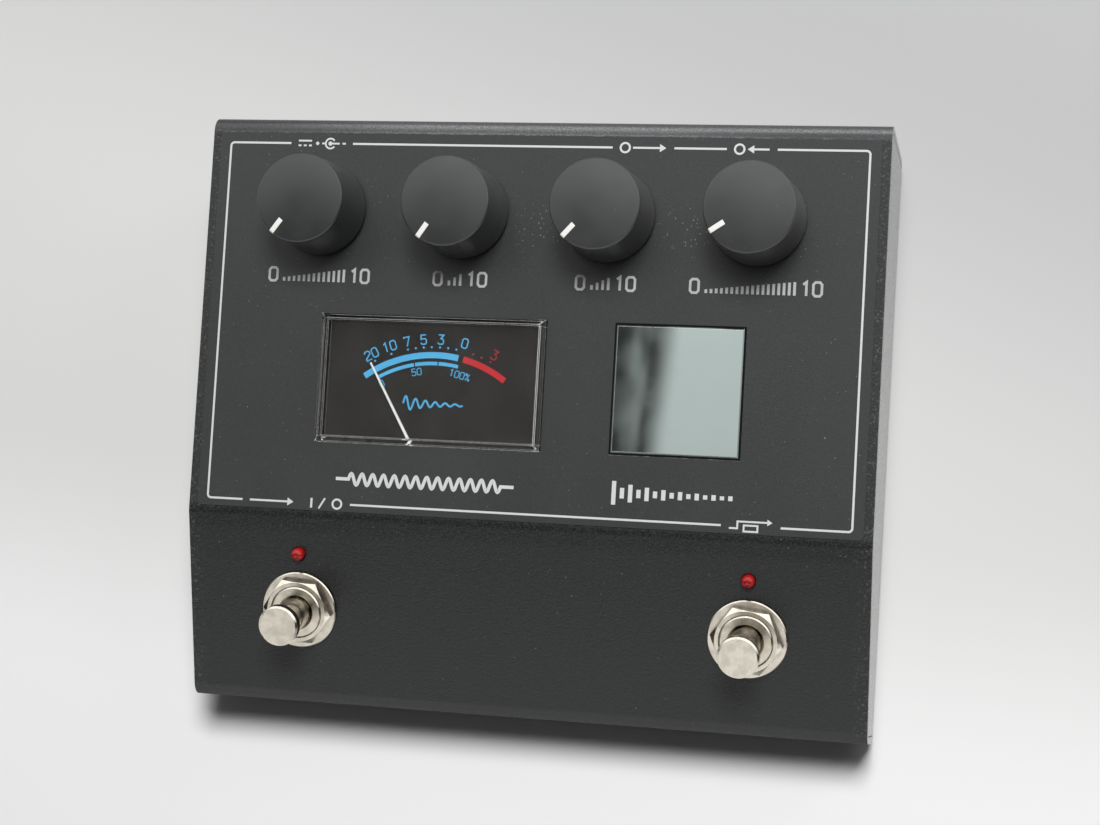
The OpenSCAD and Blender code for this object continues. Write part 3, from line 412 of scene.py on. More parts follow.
def moulded(name, colour, lighter, roughness, grain_size=0.3 * MM, gloss=0.5):
    """Moulded plastic or rubber with a fine grain."""
    plastic = Finish(name, Specular_IOR_Level=gloss)
    grain = plastic.noise(grain_size, 2)
    cloud = plastic.noise(6 * MM, 3)
    plastic.set(Base_Color=plastic.blend(cloud, colour, lighter))
    plastic.set(Roughness=plastic.grade(cloud, 0.3, 0.7, roughness - 0.06, roughness + 0.06))
    plastic.bump(grain, 0.012 * MM, 0.6, plastic.rounded(0.15 * MM))


DARK_WALL_REFLECTION = (0.13, 0.115, 0.09)


def plated(name, colour, darker, roughness, satin=None):
    """Plated metal with faint stains. With satin its tops are duller and its walls darkened as a painted
    reflection of the dark deck.
    """
    metal = Finish(name, Metallic=1.0)
    stain = metal.noise(2.2 * MM, 2)
    scratch = metal.noise(0.5 * MM, 2, metal.stretched((1, 0.12, 0.12)))
    tint = metal.blend(metal.grade(stain, 0.35, 0.75), colour, darker)
    shine = metal.grade(stain, 0.3, 0.7, roughness * 0.8, roughness * 1.25)
    if satin:
        top = metal.facing(deck_up, 0.97, 0.995)
        shine = metal.math("ADD", shine, metal.times(top, satin))
        # Painted reflection: faces that stand up from the deck are darkened for the dark deck they
        # mirror.
        wall = metal.facing(deck_up, 0.4, 0.15)
        blotch = metal.grade(metal.noise(1.8 * MM, 2), 0.35, 0.65, 0.95, 0.55)
        tint = metal.blend(metal.times(wall, blotch), tint, DARK_WALL_REFLECTION)
    metal.set(Base_Color=tint)
    metal.set(Roughness=shine)
    metal.bump(scratch, 0.004 * MM, 0.5, metal.rounded(0.12 * MM))


LENS_R = 1.7 * MM
LENS_RINGS_AND_RIM_SHADE = ((0.0, 0.95), (0.14, 0.85), (0.27, 0.25), (0.4, 0.35), (0.58, 0.9), (0.82, 0.75), (1.0, 0.2))


def red_lens(name):
    """Diffused red lamp with the rings of the cup inside it, and painted shade round its rim."""
    lens = Finish(name, Specular_IOR_Level=0.2, Subsurface_Weight=0.3, Subsurface_Scale=0.5 * MM)
    lens.set(Coat_Weight=0.6, Coat_Roughness=0.04)
    radii = []
    for node in ("led_left", "led_right"):
        axis = RIGHT * middle(node, RIGHT) + deck_back * middle(node, deck_back)
        offset = lens.vector("SUBTRACT", lens.place, tuple(axis))
        radii.append(lens.vector("LENGTH", lens.vector("CROSS_PRODUCT", offset, tuple(deck_up))))
    # Painted shade darkens the lens towards its rim; the inner dark ring is the cup inside it.
    rings_and_rim_shade = lens.ramp(lens.math("DIVIDE", lens.math("MINIMUM", *radii), LENS_R), LENS_RINGS_AND_RIM_SHADE)
    mottle = lens.noise(0.6 * MM, 2)
    red = lens.blend(mottle, (0.40, 0.004, 0.005), (0.64, 0.012, 0.012))
    lens.set(Base_Color=lens.blend(rings_and_rim_shade, (0.07, 0.004, 0.005), red))
    lens.set(Roughness=lens.grade(mottle, 0.3, 0.7, 0.16, 0.3))
    lens.set(Subsurface_Radius=(1.0, 0.15, 0.1))


# Width of the cover's flange, which lies hidden under the panel
COVER_FLANGE = 3 * MM


def clear_acrylic(name):
    """Clear cover with pale edges, partly wear and partly painted highlight, which lets the light through
    to what lies under it.
    """
    cover = Finish(name, IOR=1.49)
    smear = cover.noise(9 * MM, 4)
    scratch = cover.noise(0.35 * MM, 3, cover.stretched((1, 0.2, 1)))
    # Edges painted pale, partly as wear and partly as a painted highlight.
    edge = cover.times(cover.edges(0.11 * MM), cover.grade(scratch, 0.35, 0.6, 0.6, 1.0))
    across = cover.along(RIGHT)
    left = span("meter_cover", RIGHT)[0] + COVER_FLANGE
    right = span("meter_cover", RIGHT)[1] - COVER_FLANGE
    # Painted highlight: bright lines along the cover's right and left bevels.
    right_bevel_highlight = cover.times(
        cover.grade(across, right - 2.2 * MM, right - 1.6 * MM),
        cover.grade(across, right - 0.4 * MM, right - 0.8 * MM, 0.3, 0.9),
    )
    left_bevel_highlight = cover.grade(across, left + 0.9 * MM, left + 0.5 * MM, 0.0, 0.6)
    painted_bevel_highlight = cover.math("MAXIMUM", right_bevel_highlight, left_bevel_highlight)
    edge = cover.math("MAXIMUM", edge, cover.times(cover.edges(0.3 * MM), painted_bevel_highlight))
    cover.set(Base_Color=cover.blend(edge, (0.97, 0.98, 0.98), (0.9, 0.9, 0.89)))
    cover.set(Transmission_Weight=cover.math("SUBTRACT", 1.0, edge))
    cover.set(Roughness=cover.grade(smear, 0.4, 0.8, 0.02, 0.06))
    cover.bump(scratch, 0.002 * MM, 0.4, cover.rounded(0.2 * MM))
    clear = cover.node("ShaderNodeBsdfTransparent")
    mix = cover.node("ShaderNodeMixShader")
    ray = cover.node("ShaderNodeLightPath").outputs
    cover.feed(mix.inputs[0], cover.math("MAXIMUM", ray["Is Shadow Ray"], ray["Is Diffuse Ray"]))
    cover.feed(mix.inputs[1], cover.shader.outputs["BSDF"])
    cover.feed(mix.inputs[2], clear.outputs["BSDF"])
    cover.surface(mix.outputs[0])


def mirror_glass(name):
    """Green-grey mirror with a few specks on it."""
    glass = Finish(name, Metallic=1.0)
    haze = glass.noise(7 * MM, 3)
    tint = glass.blend(haze, (0.51, 0.592, 0.571), (0.544, 0.626, 0.605))
    speck = glass.times(glass.specks(7 * MM, 0.3 * MM), 0.5)
    glass.set(Base_Color=glass.blend(speck, tint, (0.3, 0.3, 0.3)))
    glass.set(Roughness=glass.grade(haze, 0.3, 0.8, 0.01, 0.04))
    glass.set(Normal=glass.rounded(0.15 * MM))


def printed(name, colour, lighter):
    """Ink with a slightly uneven cover."""
    ink = Finish(name)
    patch = ink.noise(0.5 * MM, 3)
    ink.set(Base_Color=ink.blend(patch, colour, lighter))
    ink.set(Roughness=ink.grade(patch, 0.3, 0.7, 0.45, 0.55))
    ink.bump(patch, 0.003 * MM, 0.4)
    return ink.material


def wound(name, colour, darker):
    """Enamelled wire, seen as close turns."""
    coil = Finish(name, Metallic=1.0)
    turns = coil.node("ShaderNodeTexWave", bands_direction="Z")
    coil.feed(turns.inputs["Vector"], coil.place)
    coil.feed(turns.inputs["Scale"], 1 / (3 * MM))
    coil.feed(turns.inputs["Distortion"], 0.4)
    coil.set(Base_Color=coil.blend(turns.outputs["Fac"], darker, colour))
    coil.set(Roughness=coil.grade(coil.noise(1 * MM), 0.3, 0.7, 0.28, 0.42))
    coil.bump(turns.outputs["Fac"], 0.05 * MM, 0.8)


def circuit_board(name):
    """Green solder mask with faint tracks under it."""
    board = Finish(name, Coat_Weight=0.3, Coat_Roughness=0.2)
    tracks = board.node("ShaderNodeTexBrick", offset=0.5)
    board.feed(tracks.inputs["Vector"], board.place)
    board.feed(tracks.inputs["Scale"], 1 / (12 * MM))
    board.feed(tracks.inputs["Mortar Size"], 0.03)
    mask = board.grade(tracks.outputs["Fac"], 0.0, 1.0)
    board.set(Base_Color=board.blend(mask, (0.008, 0.075, 0.03), (0.02, 0.15, 0.06)))
    board.set(Roughness=board.grade(board.noise(1.5 * MM), 0.3, 0.7, 0.32, 0.45))
    board.bump(mask, 0.03 * MM, 0.6)


def finish_nodes():
    """Rebuilds the material of every slot that the CAD nodes use."""
    powder_coat("powder_coat")
    overlay_film("overlay_film")
    soft_touch("soft_touch")
    red_lens("red_lens")
    clear_acrylic("clear_acrylic")
    mirror_glass("mirror_glass")
    circuit_board("green_board")
    moulded("black_rubber", (0.004, 0.004, 0.004), (0.008, 0.008, 0.008), 0.8, gloss=0.2)
    moulded("switch_case", (0.02, 0.045, 0.16), (0.03, 0.06, 0.2), 0.45)
    moulded("black_moulding", (0.012, 0.012, 0.013), (0.018, 0.018, 0.019), 0.55)
    moulded("component_black", (0.014, 0.014, 0.015), (0.024, 0.024, 0.025), 0.5)
    moulded("dial_face", (0.017, 0.016, 0.0145), (0.023, 0.0215, 0.0195), 0.7, 0.12 * MM, 0.15)
    moulded("white_inlay", (0.84, 0.83, 0.79), (0.92, 0.91, 0.88), 0.45)
    moulded("needle_white", (0.84, 0.83, 0.80), (0.92, 0.91, 0.88), 0.4)
    plated("nickel", (0.82, 0.765, 0.66), (0.68, 0.625, 0.53), 0.12, 0.16)
    plated("zinc_steel", (0.62, 0.64, 0.66), (0.45, 0.47, 0.49), 0.3)
    plated("pot_metal", (0.58, 0.57, 0.52), (0.44, 0.43, 0.39), 0.35)
    plated("spring_steel", (0.60, 0.60, 0.61), (0.45, 0.45, 0.46), 0.25)
    plated("magnet_iron", (0.22, 0.22, 0.23), (0.14, 0.14, 0.15), 0.45)
    plated("bridge_brass", (0.78, 0.60, 0.28), (0.62, 0.46, 0.2), 0.25)
    plated("tank_sheet", (0.62, 0.63, 0.64), (0.5, 0.51, 0.52), 0.38)
    wound("copper_winding", (0.75, 0.34, 0.14), (0.42, 0.16, 0.06))


# Flat ink marks
INK_THICKNESS = 0.03
INK_STEP = 0.002
# Least share of a corner's opening, which keeps the mitre of a sharp corner short
MITRE_LIMIT = 0.35


def direction(start, end):
    length = math.dist(start, end)
    return ((end[0] - start[0]) / length, (end[1] - start[1]) / length)


def arc(centre, radius, start, end, step=2.0):
    """Points along an arc, in degrees clockwise from straight up."""
    count = max(2, math.ceil(abs(end - start) / step))
    angles = [math.radians(start + (end - start) * i / count) for i in range(count + 1)]
    return [(centre[0] + radius * math.sin(a), centre[1] + radius * math.cos(a)) for a in angles]


class Marks:
    """Flat ink marks on one plane, in millimetres, that become one mesh of thin closed prisms."""

    def __init__(self, plane):
        self.plane = plane
        self.points = []
        self.faces = []
        self.top = INK_THICKNESS

    def lay(self, outline):
        """Adds an outline at the marks' foot and at their top, and returns where it starts."""
        first = len(self.points)
        self.points += [self.plane.point(x, y, -INK_STEP) for x, y in outline]
        self.points += [self.plane.point(x, y, self.top) for x, y in outline]
        return first

    def patch(self, outline):
        """A filled convex outline, counter-clockwise."""
        count = len(outline)
        foot = self.lay(outline)
        top = foot + count
        self.faces.append([foot + i for i in reversed(range(count))])
        self.faces.append([top + i for i in range(count)])
        for i in range(count):
            after = (i + 1) % count
            self.faces.append([foot + i, foot + after, top + after, top + i])

    def stroke(self, line, width, closed=False):
        """A line of even width with mitred corners."""
        count = len(line)
        left = []
        right = []
        for i, point in enumerate(line):
            before = line[i - 1] if closed or i > 0 else None
            after = line[(i + 1) % count] if closed or i < count - 1 else None
            first = direction(before, point) if before else direction(point, after)
            last = direction(point, after) if after else first
            reach = width / 2 / max(MITRE_LIMIT, 1 + first[0] * last[0] + first[1] * last[1])
            side = (-(first[1] + last[1]) * reach, (first[0] + last[0]) * reach)
            left.append((point[0] + side[0], point[1] + side[1]))
            right.append((point[0] - side[0], point[1] - side[1]))
        foot = self.lay(left + right)
        top = foot + 2 * count
        right_foot = foot + count
        right_top = top + count
        for i in range(count if closed else count - 1):
            after = (i + 1) % count
            ring = [i, count + i, count + after, after]
            self.faces.append([top + k for k in ring])
            self.faces.append([foot + k for k in reversed(ring)])
            self.faces.append([foot + i, top + i, top + after, foot + after])
            self.faces.append([right_foot + after, right_top + after, right_top + i, right_foot + i])
        if not closed:
            last = count - 1
            self.faces.append([foot, right_foot, right_top, top])
            self.faces.append([foot + last, top + last, right_top + last, right_foot + last])
        self.top += INK_STEP

    def dot(self, centre, radius):
        self.patch(arc(centre, radius, 360, 0, 24)[:-1])

    def ring(self, centre, radius, width):
        self.stroke(arc(centre, radius, 0, 360, 15)[:-1], width, True)

    def bar(self, x, low, high, width):
        left = x - width / 2
        right = x + width / 2
        self.patch([(left, low), (right, low), (right, high), (left, high)])

    def write(self, text, centre, height, width, turn=0.0):
        """Plain stroke numerals round a centre, turned clockwise."""
        advance = DIGIT_WIDTH + DIGIT_GAP
        start = -(advance * len(text) - DIGIT_GAP) / 2
        sine = math.sin(math.radians(turn))
        cosine = math.cos(math.radians(turn))
        for i, letter in enumerate(text):
            for closed, line in DIGITS[letter]:
                flat = [((x + start + i * advance) * height, (y - 0.5) * height) for x, y in line]
                turned = [(x * cosine + y * sine, y * cosine - x * sine) for x, y in flat]
                self.stroke([(centre[0] + x, centre[1] + y) for x, y in turned], width, closed)

    def piece(self, name, ink, slot):
        mesh = bpy.data.meshes.new(name)
        mesh.from_pydata(self.points, [], self.faces)
        mesh.materials.append(ink)
        piece = bpy.data.objects.new(name, mesh)
        bpy.context.scene.collection.objects.link(piece)
        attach(piece, "case")


# Numerals as strokes in a box that is one unit high
DIGIT_WIDTH = 0.62
DIGIT_GAP = 0.24
BOWL = [(0.62, 0.16), (0.48, 0), (0.14, 0), (0, 0.16)]
DIGITS = {
    "0": [(True, [
        (0.14, 0), (0.48, 0), (0.62, 0.16), (0.62, 0.84), (0.48, 1), (0.14, 1), (0, 0.84), (0, 0.16)
    ])],
    "1": [(False, [(0.12, 0.82), (0.36, 1), (0.36, 0)])],
    "2": [(False, [
        (0, 0.78), (0.14, 1), (0.48, 1), (0.62, 0.84), (0.62, 0.62), (0, 0.2), (0, 0), (0.62, 0)
    ])],
    "3": [(False, [(0.02, 1), (0.6, 1), (0.3, 0.6), (0.46, 0.58), (0.62, 0.42)] + BOWL)],
    "5": [(False, [(0.6, 1), (0.06, 1), (0.02, 0.56), (0.46, 0.6), (0.62, 0.44)] + BOWL)],
    "7": [(False, [(0, 0.86), (0, 1), (0.62, 1), (0.26, 0)])],
    "%": [
        (True, [(0, 0.72), (0.2, 0.72), (0.2, 0.98), (0, 0.98)]),
        (True, [(0.44, 0.02), (0.64, 0.02), (0.64, 0.28), (0.44, 0.28)]),
        (False, [(0.06, 0), (0.58, 1)]),
    ],
}

# Panel print, in millimetres from the middle of the knob row
FRAME_X = 73.5
FRAME_TOP = 15.35
FRAME_FOOT = -67.0
FRAME_LINE = 0.47
FRAME_CORNER = 0.8
GAP_MARGIN = 1.8
LABEL_Y = -15.05
LABEL_H = 3.0
LABEL_W = (23.8, 12.2, 13.3, 28.8)
TITLE_Y = -61.2
TITLE_SIZE = (41.5, 3.3)
TAIL_SIZE = (26.8, 5.2)
POWER_MARK = (-51.4, 11.3)
OUTPUT_MARK = (23.6, 10.3)
INPUT_MARK = (47.8, 7.6)
DIRECT_MARK = (-52.1, 22.2)
BYPASS_MARK = (51.7, 9.4)

# Strokes of the panel print, in millimetres
LABEL_LINE = 0.55
LABEL_GAPS = (1.1, 0.9)
BAR_PITCH = 1.15
BAR_WIDTH = 0.6
TITLE_LINE = 0.75
TITLE_INSET = 0.8
TAIL_BAR = 0.95
TAIL_INSET = 0.5
THIN_LINE = 0.4
SIGN_LINE = 0.45
SWITCH_LINE = 0.5
SIGN_RING = 1.05
SIGN_GAP = 0.7
ARROW_HEAD = 0.9
SMALL_HEAD = 0.7


def gap(mark):
    """Ends of the break in the frame line round a mark."""
    reach = mark[1] / 2 + GAP_MARGIN
    return mark[0] - reach, mark[0] + reach


def corner(side, end, start):
    """A rounded corner of the frame, turning on from an angle by a quarter."""
    x = side * (FRAME_X - FRAME_CORNER)
    y = end - math.copysign(FRAME_CORNER, end)
    return arc((x, y), FRAME_CORNER, start * side, (start + 90) * side, 15)


def frame_lines():
    """The white frame's lines, broken where a mark interrupts them."""
    power, output, entry = gap(POWER_MARK), gap(OUTPUT_MARK), gap(INPUT_MARK)
    direct, bypass = gap(DIRECT_MARK), gap(BYPASS_MARK)
    left = corner(-1, FRAME_TOP, 0) + corner(-1, FRAME_FOOT, 90)
    right = corner(1, FRAME_TOP, 0) + corner(1, FRAME_FOOT, 90)
    return [
        [(power[0], FRAME_TOP)] + left + [(direct[0], FRAME_FOOT)],
        [(power[1], FRAME_TOP), (output[0], FRAME_TOP)],
        [(output[1], FRAME_TOP), (entry[0], FRAME_TOP)],
        [(entry[1], FRAME_TOP)] + right + [(bypass[1], FRAME_FOOT)],
        [(direct[1], FRAME_FOOT), (bypass[0], FRAME_FOOT)],
    ]


def level_scale(marks, x, width):
    """A nought, a row of rising bars and a ten under a knob."""
    left = x - width / 2
    right = x + width / 2
    low = LABEL_Y - LABEL_H / 2
    nought_width = LABEL_H * DIGIT_WIDTH
    ten_width = LABEL_H * (2 * DIGIT_WIDTH + DIGIT_GAP)
    marks.write("0", (left + nought_width / 2, LABEL_Y), LABEL_H, LABEL_LINE)
    marks.write("10", (right - ten_width / 2, LABEL_Y), LABEL_H, LABEL_LINE)
    start = left + nought_width + LABEL_GAPS[0]
    end = right - ten_width - LABEL_GAPS[1]
    count = max(2, round((end - start) / BAR_PITCH))
    for i in range(count):
        share = (i + 0.5) / count
        height = LABEL_H * (0.25 + 0.75 * share)
        marks.bar(start + (end - start) * share, low, low + height, BAR_WIDTH)


def spring_sign(marks):
    """A drawn-out coil with straight ends."""
    width, height = TITLE_SIZE
    waves = 14
    lead = 3.0
    steps = 16
    reach = width / 2 - lead
    swing = (height - TITLE_INSET) / 2
    count = waves * steps
    line = [(meter_x - width / 2, TITLE_Y)]
    for i in range(count + 1):
        x = meter_x - reach + 2 * reach * i / count
        line.append((x, TITLE_Y + swing * math.sin(2 * math.pi * i / steps)))
    line.append((meter_x + width / 2, TITLE_Y))
    marks.stroke(line, TITLE_LINE)


def tail_sign(marks):
    """Bars that die away like an echo."""
    width, height = TAIL_SIZE
    count = 15
    fading = 2.4
    for i in range(count):
        share = i / (count - 1)
        beat = 0.72 + 0.28 * (-1) ** i
        reach = height / 2 * (0.12 + 0.88 * math.exp(-fading * share) * beat)
        x = window_x - width / 2 + TAIL_INSET + (width - 2 * TAIL_INSET) * share
        marks.bar(x, TITLE_Y - reach, TITLE_Y + reach, TAIL_BAR)


def power_sign(marks):
    """Direct current, with the plug's minus at its middle."""
    left = POWER_MARK[0] - POWER_MARK[1] / 2
    y = FRAME_TOP
    marks.stroke([(left, y + 0.6), (left + 3.2, y + 0.6)], THIN_LINE)
    for i in range(3):
        x = left + 1.25 * i
        marks.stroke([(x, y - 0.5), (x + 0.7, y - 0.5)], THIN_LINE)
    x = left + 7.7
    marks.stroke(arc((x, y), 1.15, 125, 415, 12), THIN_LINE)
    marks.dot((x, y), 0.5)
    for start, end in ((0.5, 2.2), (-1.3, -2.0), (2.9, 3.7), (-2.7, -3.5)):
        marks.stroke([(x + start, y), (x + end, y)], THIN_LINE)
    marks.stroke([(x - 3.1, y - 0.4), (x - 3.1, y + 0.4)], THIN_LINE)


def arrow(marks, start, end, line=SIGN_LINE, head=ARROW_HEAD):
    """A straight arrow with a filled head."""
    along = direction(start, end)
    side = (-along[1] * head, along[0] * head)
    neck = (end[0] - along[0] * 1.6 * head, end[1] - along[1] * 1.6 * head)
    marks.stroke([start, neck], line)
    marks.patch([(neck[0] - side[0], neck[1] - side[1]), end, (neck[0] + side[0], neck[1] + side[1])])


def socket_signs(marks):
    """An arrow out of a ring for the output and into one for the input."""
    for centre, width, outward in ((*OUTPUT_MARK, True), (*INPUT_MARK, False)):
        left = centre - width / 2
        right = centre + width / 2
        marks.ring((left + SIGN_RING, FRAME_TOP), SIGN_RING, SIGN_LINE)
        near = (left + 2 * SIGN_RING + SIGN_GAP, FRAME_TOP)
        far = (right, FRAME_TOP)
        arrow(marks, near if outward else far, far if outward else near)


def switch_signs(marks):
    """A straight arrow with on and off strokes, and a path that goes round a box."""
    left = DIRECT_MARK[0] - DIRECT_MARK[1] / 2
    right = DIRECT_MARK[0] + DIRECT_MARK[1] / 2
    y = FRAME_FOOT
    arrow(marks, (left, y), (left + 10.5, y))
    marks.stroke([(right - 7.4, y - 1.1), (right - 7.4, y + 1.1)], SWITCH_LINE)
    marks.stroke([(right - 5.6, y - 1.2), (right - 4.2, y + 1.2)], THIN_LINE)
    marks.ring((right - 1.3, y), SIGN_RING, SIGN_LINE)
    left = BYPASS_MARK[0] - BYPASS_MARK[1] / 2
    right = BYPASS_MARK[0] + BYPASS_MARK[1] / 2
    box = [(left + 3.2, y - 1.1), (right - 3.2, y - 1.1), (right - 3.2, y + 0.2), (left + 3.2, y + 0.2)]
    marks.stroke(box, THIN_LINE, True)
    turn = (right - 2.6, y + 1.0)
    marks.stroke([(left, y - 0.5), (left + 1.8, y - 0.5), (left + 1.8, y + 1.0), turn], THIN_LINE)
    arrow(marks, turn, (right, y + 1.0), THIN_LINE, SMALL_HEAD)


def print_panel():
    """The frame line, and generic signs in the places of the panel's words."""
    white = printed("white_ink", (0.60, 0.61, 0.605), (0.69, 0.70, 0.695))
    grey = printed("grey_ink", (0.40, 0.405, 0.40), (0.49, 0.495, 0.49))
    lines = Marks(panel)
    for line in frame_lines():
        lines.stroke(line, FRAME_LINE)
    lines.piece("panel_frame_print", white, "white_inlay")
    signs = Marks(panel)
    power_sign(signs)
    socket_signs(signs)
    switch_signs(signs)
    signs.piece("panel_sign_print", white, "white_inlay")
    title = Marks(panel)
    spring_sign(title)
    tail_sign(title)
    title.piece("panel_title_print", white, "white_inlay")
    labels = Marks(panel)
    for joint, width in zip(knob_joints, LABEL_W):
        level_scale(labels, joint["pos_m"][0] / MM, width)
    labels.piece("knob_scale_print", grey, "white_inlay")


# Dial print, in millimetres and degrees clockwise round the needle's pivot
BAND = (27.5, 28.9)
THIN_BAND = (25.9, 26.7)
BLUE_ARC = (-35.9, 10.9)
RED_ARC = (13.3, 35.5)
THIN_ARCS = ((-30.6, -11.0), (-10.4, 1.1), (1.7, 11.8))
UPPER_NUMERALS = (("20", -28.7), ("10", -20.4), ("7", -12.7), ("5", -5.6), ("3", 1.8), ("0", 12.1))
RED_NUMERAL = ("3", 25.5)
LOWER_NUMERALS = (("0", -30.2), ("50", -10.1), ("100%", 13.7))
UPPER_R = 31.8
LOWER_R = 24.6
UPPER_H = 2.1
LOWER_H = 1.5
DOT_R = 30.0
BLUE_DOTS = (-28.4, -20.5, -12.8, -9.2, -5.6, -2.0, 1.7, 5.4, 9.1)
RED_DOTS = (17.0, 21.0, 25.4)
WAVE_Y = 17.0
WAVE_SIZE = (14.0, 3.6)

# Strokes of the dial print, in millimetres
DOT_SIZE = 0.24
UPPER_LINE = 0.28
LOWER_LINE = 0.2
RED_LINE = 0.26
WAVE_LINE = 0.42


def around(radius, angle):
    """A point round the needle's pivot."""
    return radius * math.sin(math.radians(angle)), radius * math.cos(math.radians(angle))


def band(marks, radii, angles):
    marks.stroke(arc((0, 0), sum(radii) / 2, *angles), radii[1] - radii[0])


def numerals(marks, texts, radius, height, stroke):
    for text, angle in texts:
        marks.write(text, around(radius, angle), height, stroke, angle)


def dying_wave():
    """Points of a wave that dies away to the right."""
    width, height = WAVE_SIZE
    steps = 96
    wave = []
    for i in range(steps + 1):
        share = i / steps
        swing = height / 2 * math.exp(-2.2 * share) * math.sin(12 * math.pi * share)
        wave.append((width * (share - 0.5), WAVE_Y + swing))
    return wave


def print_dial():
    """Scales, numerals and dots of the needle meter, with a plain wave in place of its word."""
    blue_ink = printed("blue_ink", (0.075, 0.38, 0.66), (0.095, 0.43, 0.73))
    red_ink = printed("red_ink", (0.37, 0.006, 0.012), (0.42, 0.011, 0.018))
    dark_red_ink = printed("dark_red_ink", (0.24, 0.010, 0.014), (0.29, 0.015, 0.02))
    blue = Marks(dial)
    band(blue, BAND, BLUE_ARC)
    for angles in THIN_ARCS:
        band(blue, THIN_BAND, angles)
    for angle in BLUE_DOTS:
        blue.dot(around(DOT_R, angle), DOT_SIZE)
    numerals(blue, UPPER_NUMERALS, UPPER_R, UPPER_H, UPPER_LINE)
    numerals(blue, LOWER_NUMERALS, LOWER_R, LOWER_H, LOWER_LINE)
    blue.stroke(dying_wave(), WAVE_LINE)
    blue.piece("dial_blue_print", blue_ink, "dial_face")
    red = Marks(dial)
    band(red, BAND, RED_ARC)
    red.piece("dial_red_print", red_ink, "dial_face")
    dark_red = Marks(dial)
    for angle in RED_DOTS:
        dark_red.dot(around(DOT_R, angle), DOT_SIZE)
    numerals(dark_red, (RED_NUMERAL,), UPPER_R, UPPER_H, RED_LINE)
    dark_red.piece("dial_red_numeral", dark_red_ink, "dial_face")


# Springs
def sweep(name, path, radius, sides, material):
    """A closed round wire along a path."""
    points = []
    faces = []
    last = len(path) - 1
    side = Vector((0.3, 0.5, 0.8))
    for i, centre in enumerate(path):
        along = (path[min(i + 1, last)] - path[max(i - 1, 0)]).normalized()
        side = (side - along * side.dot(along)).normalized()
        other = along.cross(side)
        for k in range(sides):
            angle = 2 * math.pi * k / sides
            points.append(centre + (side * math.cos(angle) + other * math.sin(angle)) * radius)
    for i in range(last):
        for k in range(sides):
            after = (k + 1) % sides
            ring = i * sides
            faces.append([ring + k, ring + after, ring + sides + after, ring + sides + k])
    faces.append(list(reversed(range(sides))))
    faces.append([last * sides + k for k in range(sides)])
    mesh = bpy.data.meshes.new(name)
    mesh.from_pydata(points, [], faces)
    mesh.materials.append(material)
    mesh.shade_smooth()
    piece = bpy.data.objects.new(name, mesh)
    bpy.context.scene.collection.objects.link(piece)
    return piece


def helix(start, along, side, length, radius, curls, tail, steps=18):
    """Points of a coil from start, drawn in to its axis at both ends if it has a tail."""
    other = along.cross(side)
    count = curls * steps
    path = [start] if tail else []
    for i in range(count + 1):
        angle = 2 * math.pi * i / steps
        ease = min(1, min(i, count - i) / (steps / 2)) if tail else 1
        climb = tail + (length - 2 * tail) * i / count
        swing = side * math.cos(angle) + other * math.sin(angle)
        path.append(start + along * climb + swing * radius * ease)
    return path + [start + along * length] if tail else path


TANK_CURLS = 58
TANK_WIRE = 0.5 * MM
TANK_TAIL = 1.2 * MM
TANK_SIDES = 8
BUTTON_CURLS = 5
BUTTON_WIRE = 0.44 * MM
BUTTON_SIDES = 10


def add_springs():
    """Three reverb springs and two button springs, with more curls than their solids."""
    steel = bpy.data.materials["spring_steel"]
    low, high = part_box("tank_springs")
    outer = high.z - low.z
    pitch = (high.y - low.y - outer) / 2
    length = high.x - low.x
    radius = (outer - TANK_WIRE) / 2
    for i, side in enumerate(("front", "middle", "back")):
        start = Vector((low.x, low.y + outer / 2 + i * pitch, (low.z + high.z) / 2))
        path = helix(start, RIGHT, BACK, length, radius, TANK_CURLS, TANK_TAIL)
        spring = sweep(f"tank_spring_{side}", path, TANK_WIRE / 2, TANK_SIDES, steel)
        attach(spring, "case")
        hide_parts("tank_springs")
    for side in ("left", "right"):
        solid = f"switch_spring_{side}"
        bushing = f"switch_bushing_{side}"
        foot, head = span(solid, deck_up)
        radius = (span(solid, RIGHT)[1] - span(solid, RIGHT)[0] - BUTTON_WIRE) / 2
        axis = RIGHT * middle(bushing, RIGHT) + deck_back * middle(bushing, deck_back)
        start = axis + deck_up * (foot + BUTTON_WIRE / 2)
        path = helix(start, deck_up, RIGHT, head - foot - BUTTON_WIRE, radius, BUTTON_CURLS, 0)
        spring = sweep(f"button_spring_{side}", path, BUTTON_WIRE / 2, BUTTON_SIDES, steel)
        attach(spring, "case")
        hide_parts(solid)
        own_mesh(spring)


# Stage, light and world
FLOOR_SIZE = 8.0
FLOOR_FRONT = (0.92, 0.92, 0.92)
FLOOR_MIDDLE = (0.725, 0.725, 0.715)
FLOOR_BACK = (0.515, 0.515, 0.52)
# Directions along which the floor changes its tone, and from where to where
FRONT_WAY = (0.08, 1, 0)
FRONT_FADE = (-0.08, -0.01)
BACK_WAY = (0.4, 1, 0)
BACK_FADE = (0.0, 0.13)
# Lamps by name, place, size and power
KEY = ("key", (0.20, 0.40, 1.12), 0.36, 15.0)
SIDE = ("side", (0.60, 0.50, 0.50), 0.4, 0.6)
FILL = 0.055
# Light of the tent on its way from the front to the back
TENT = (
    (0.0, 0.5), (0.12, 1.4), (0.2, 1.36), (0.235, 1.12), (0.27, 0.6),
    (0.31, 0.12), (0.44, 0.08), (0.475, 0.5), (0.5, 0.97), (0.53, 1.06),
    (0.57, 1.4), (0.64, 1.7), (0.76, 1.75), (0.9, 1.6), (1.0, 1.0),
)
TENT_PEAK = 1.75
GLOW = 0.8
HORIZON = 0.05


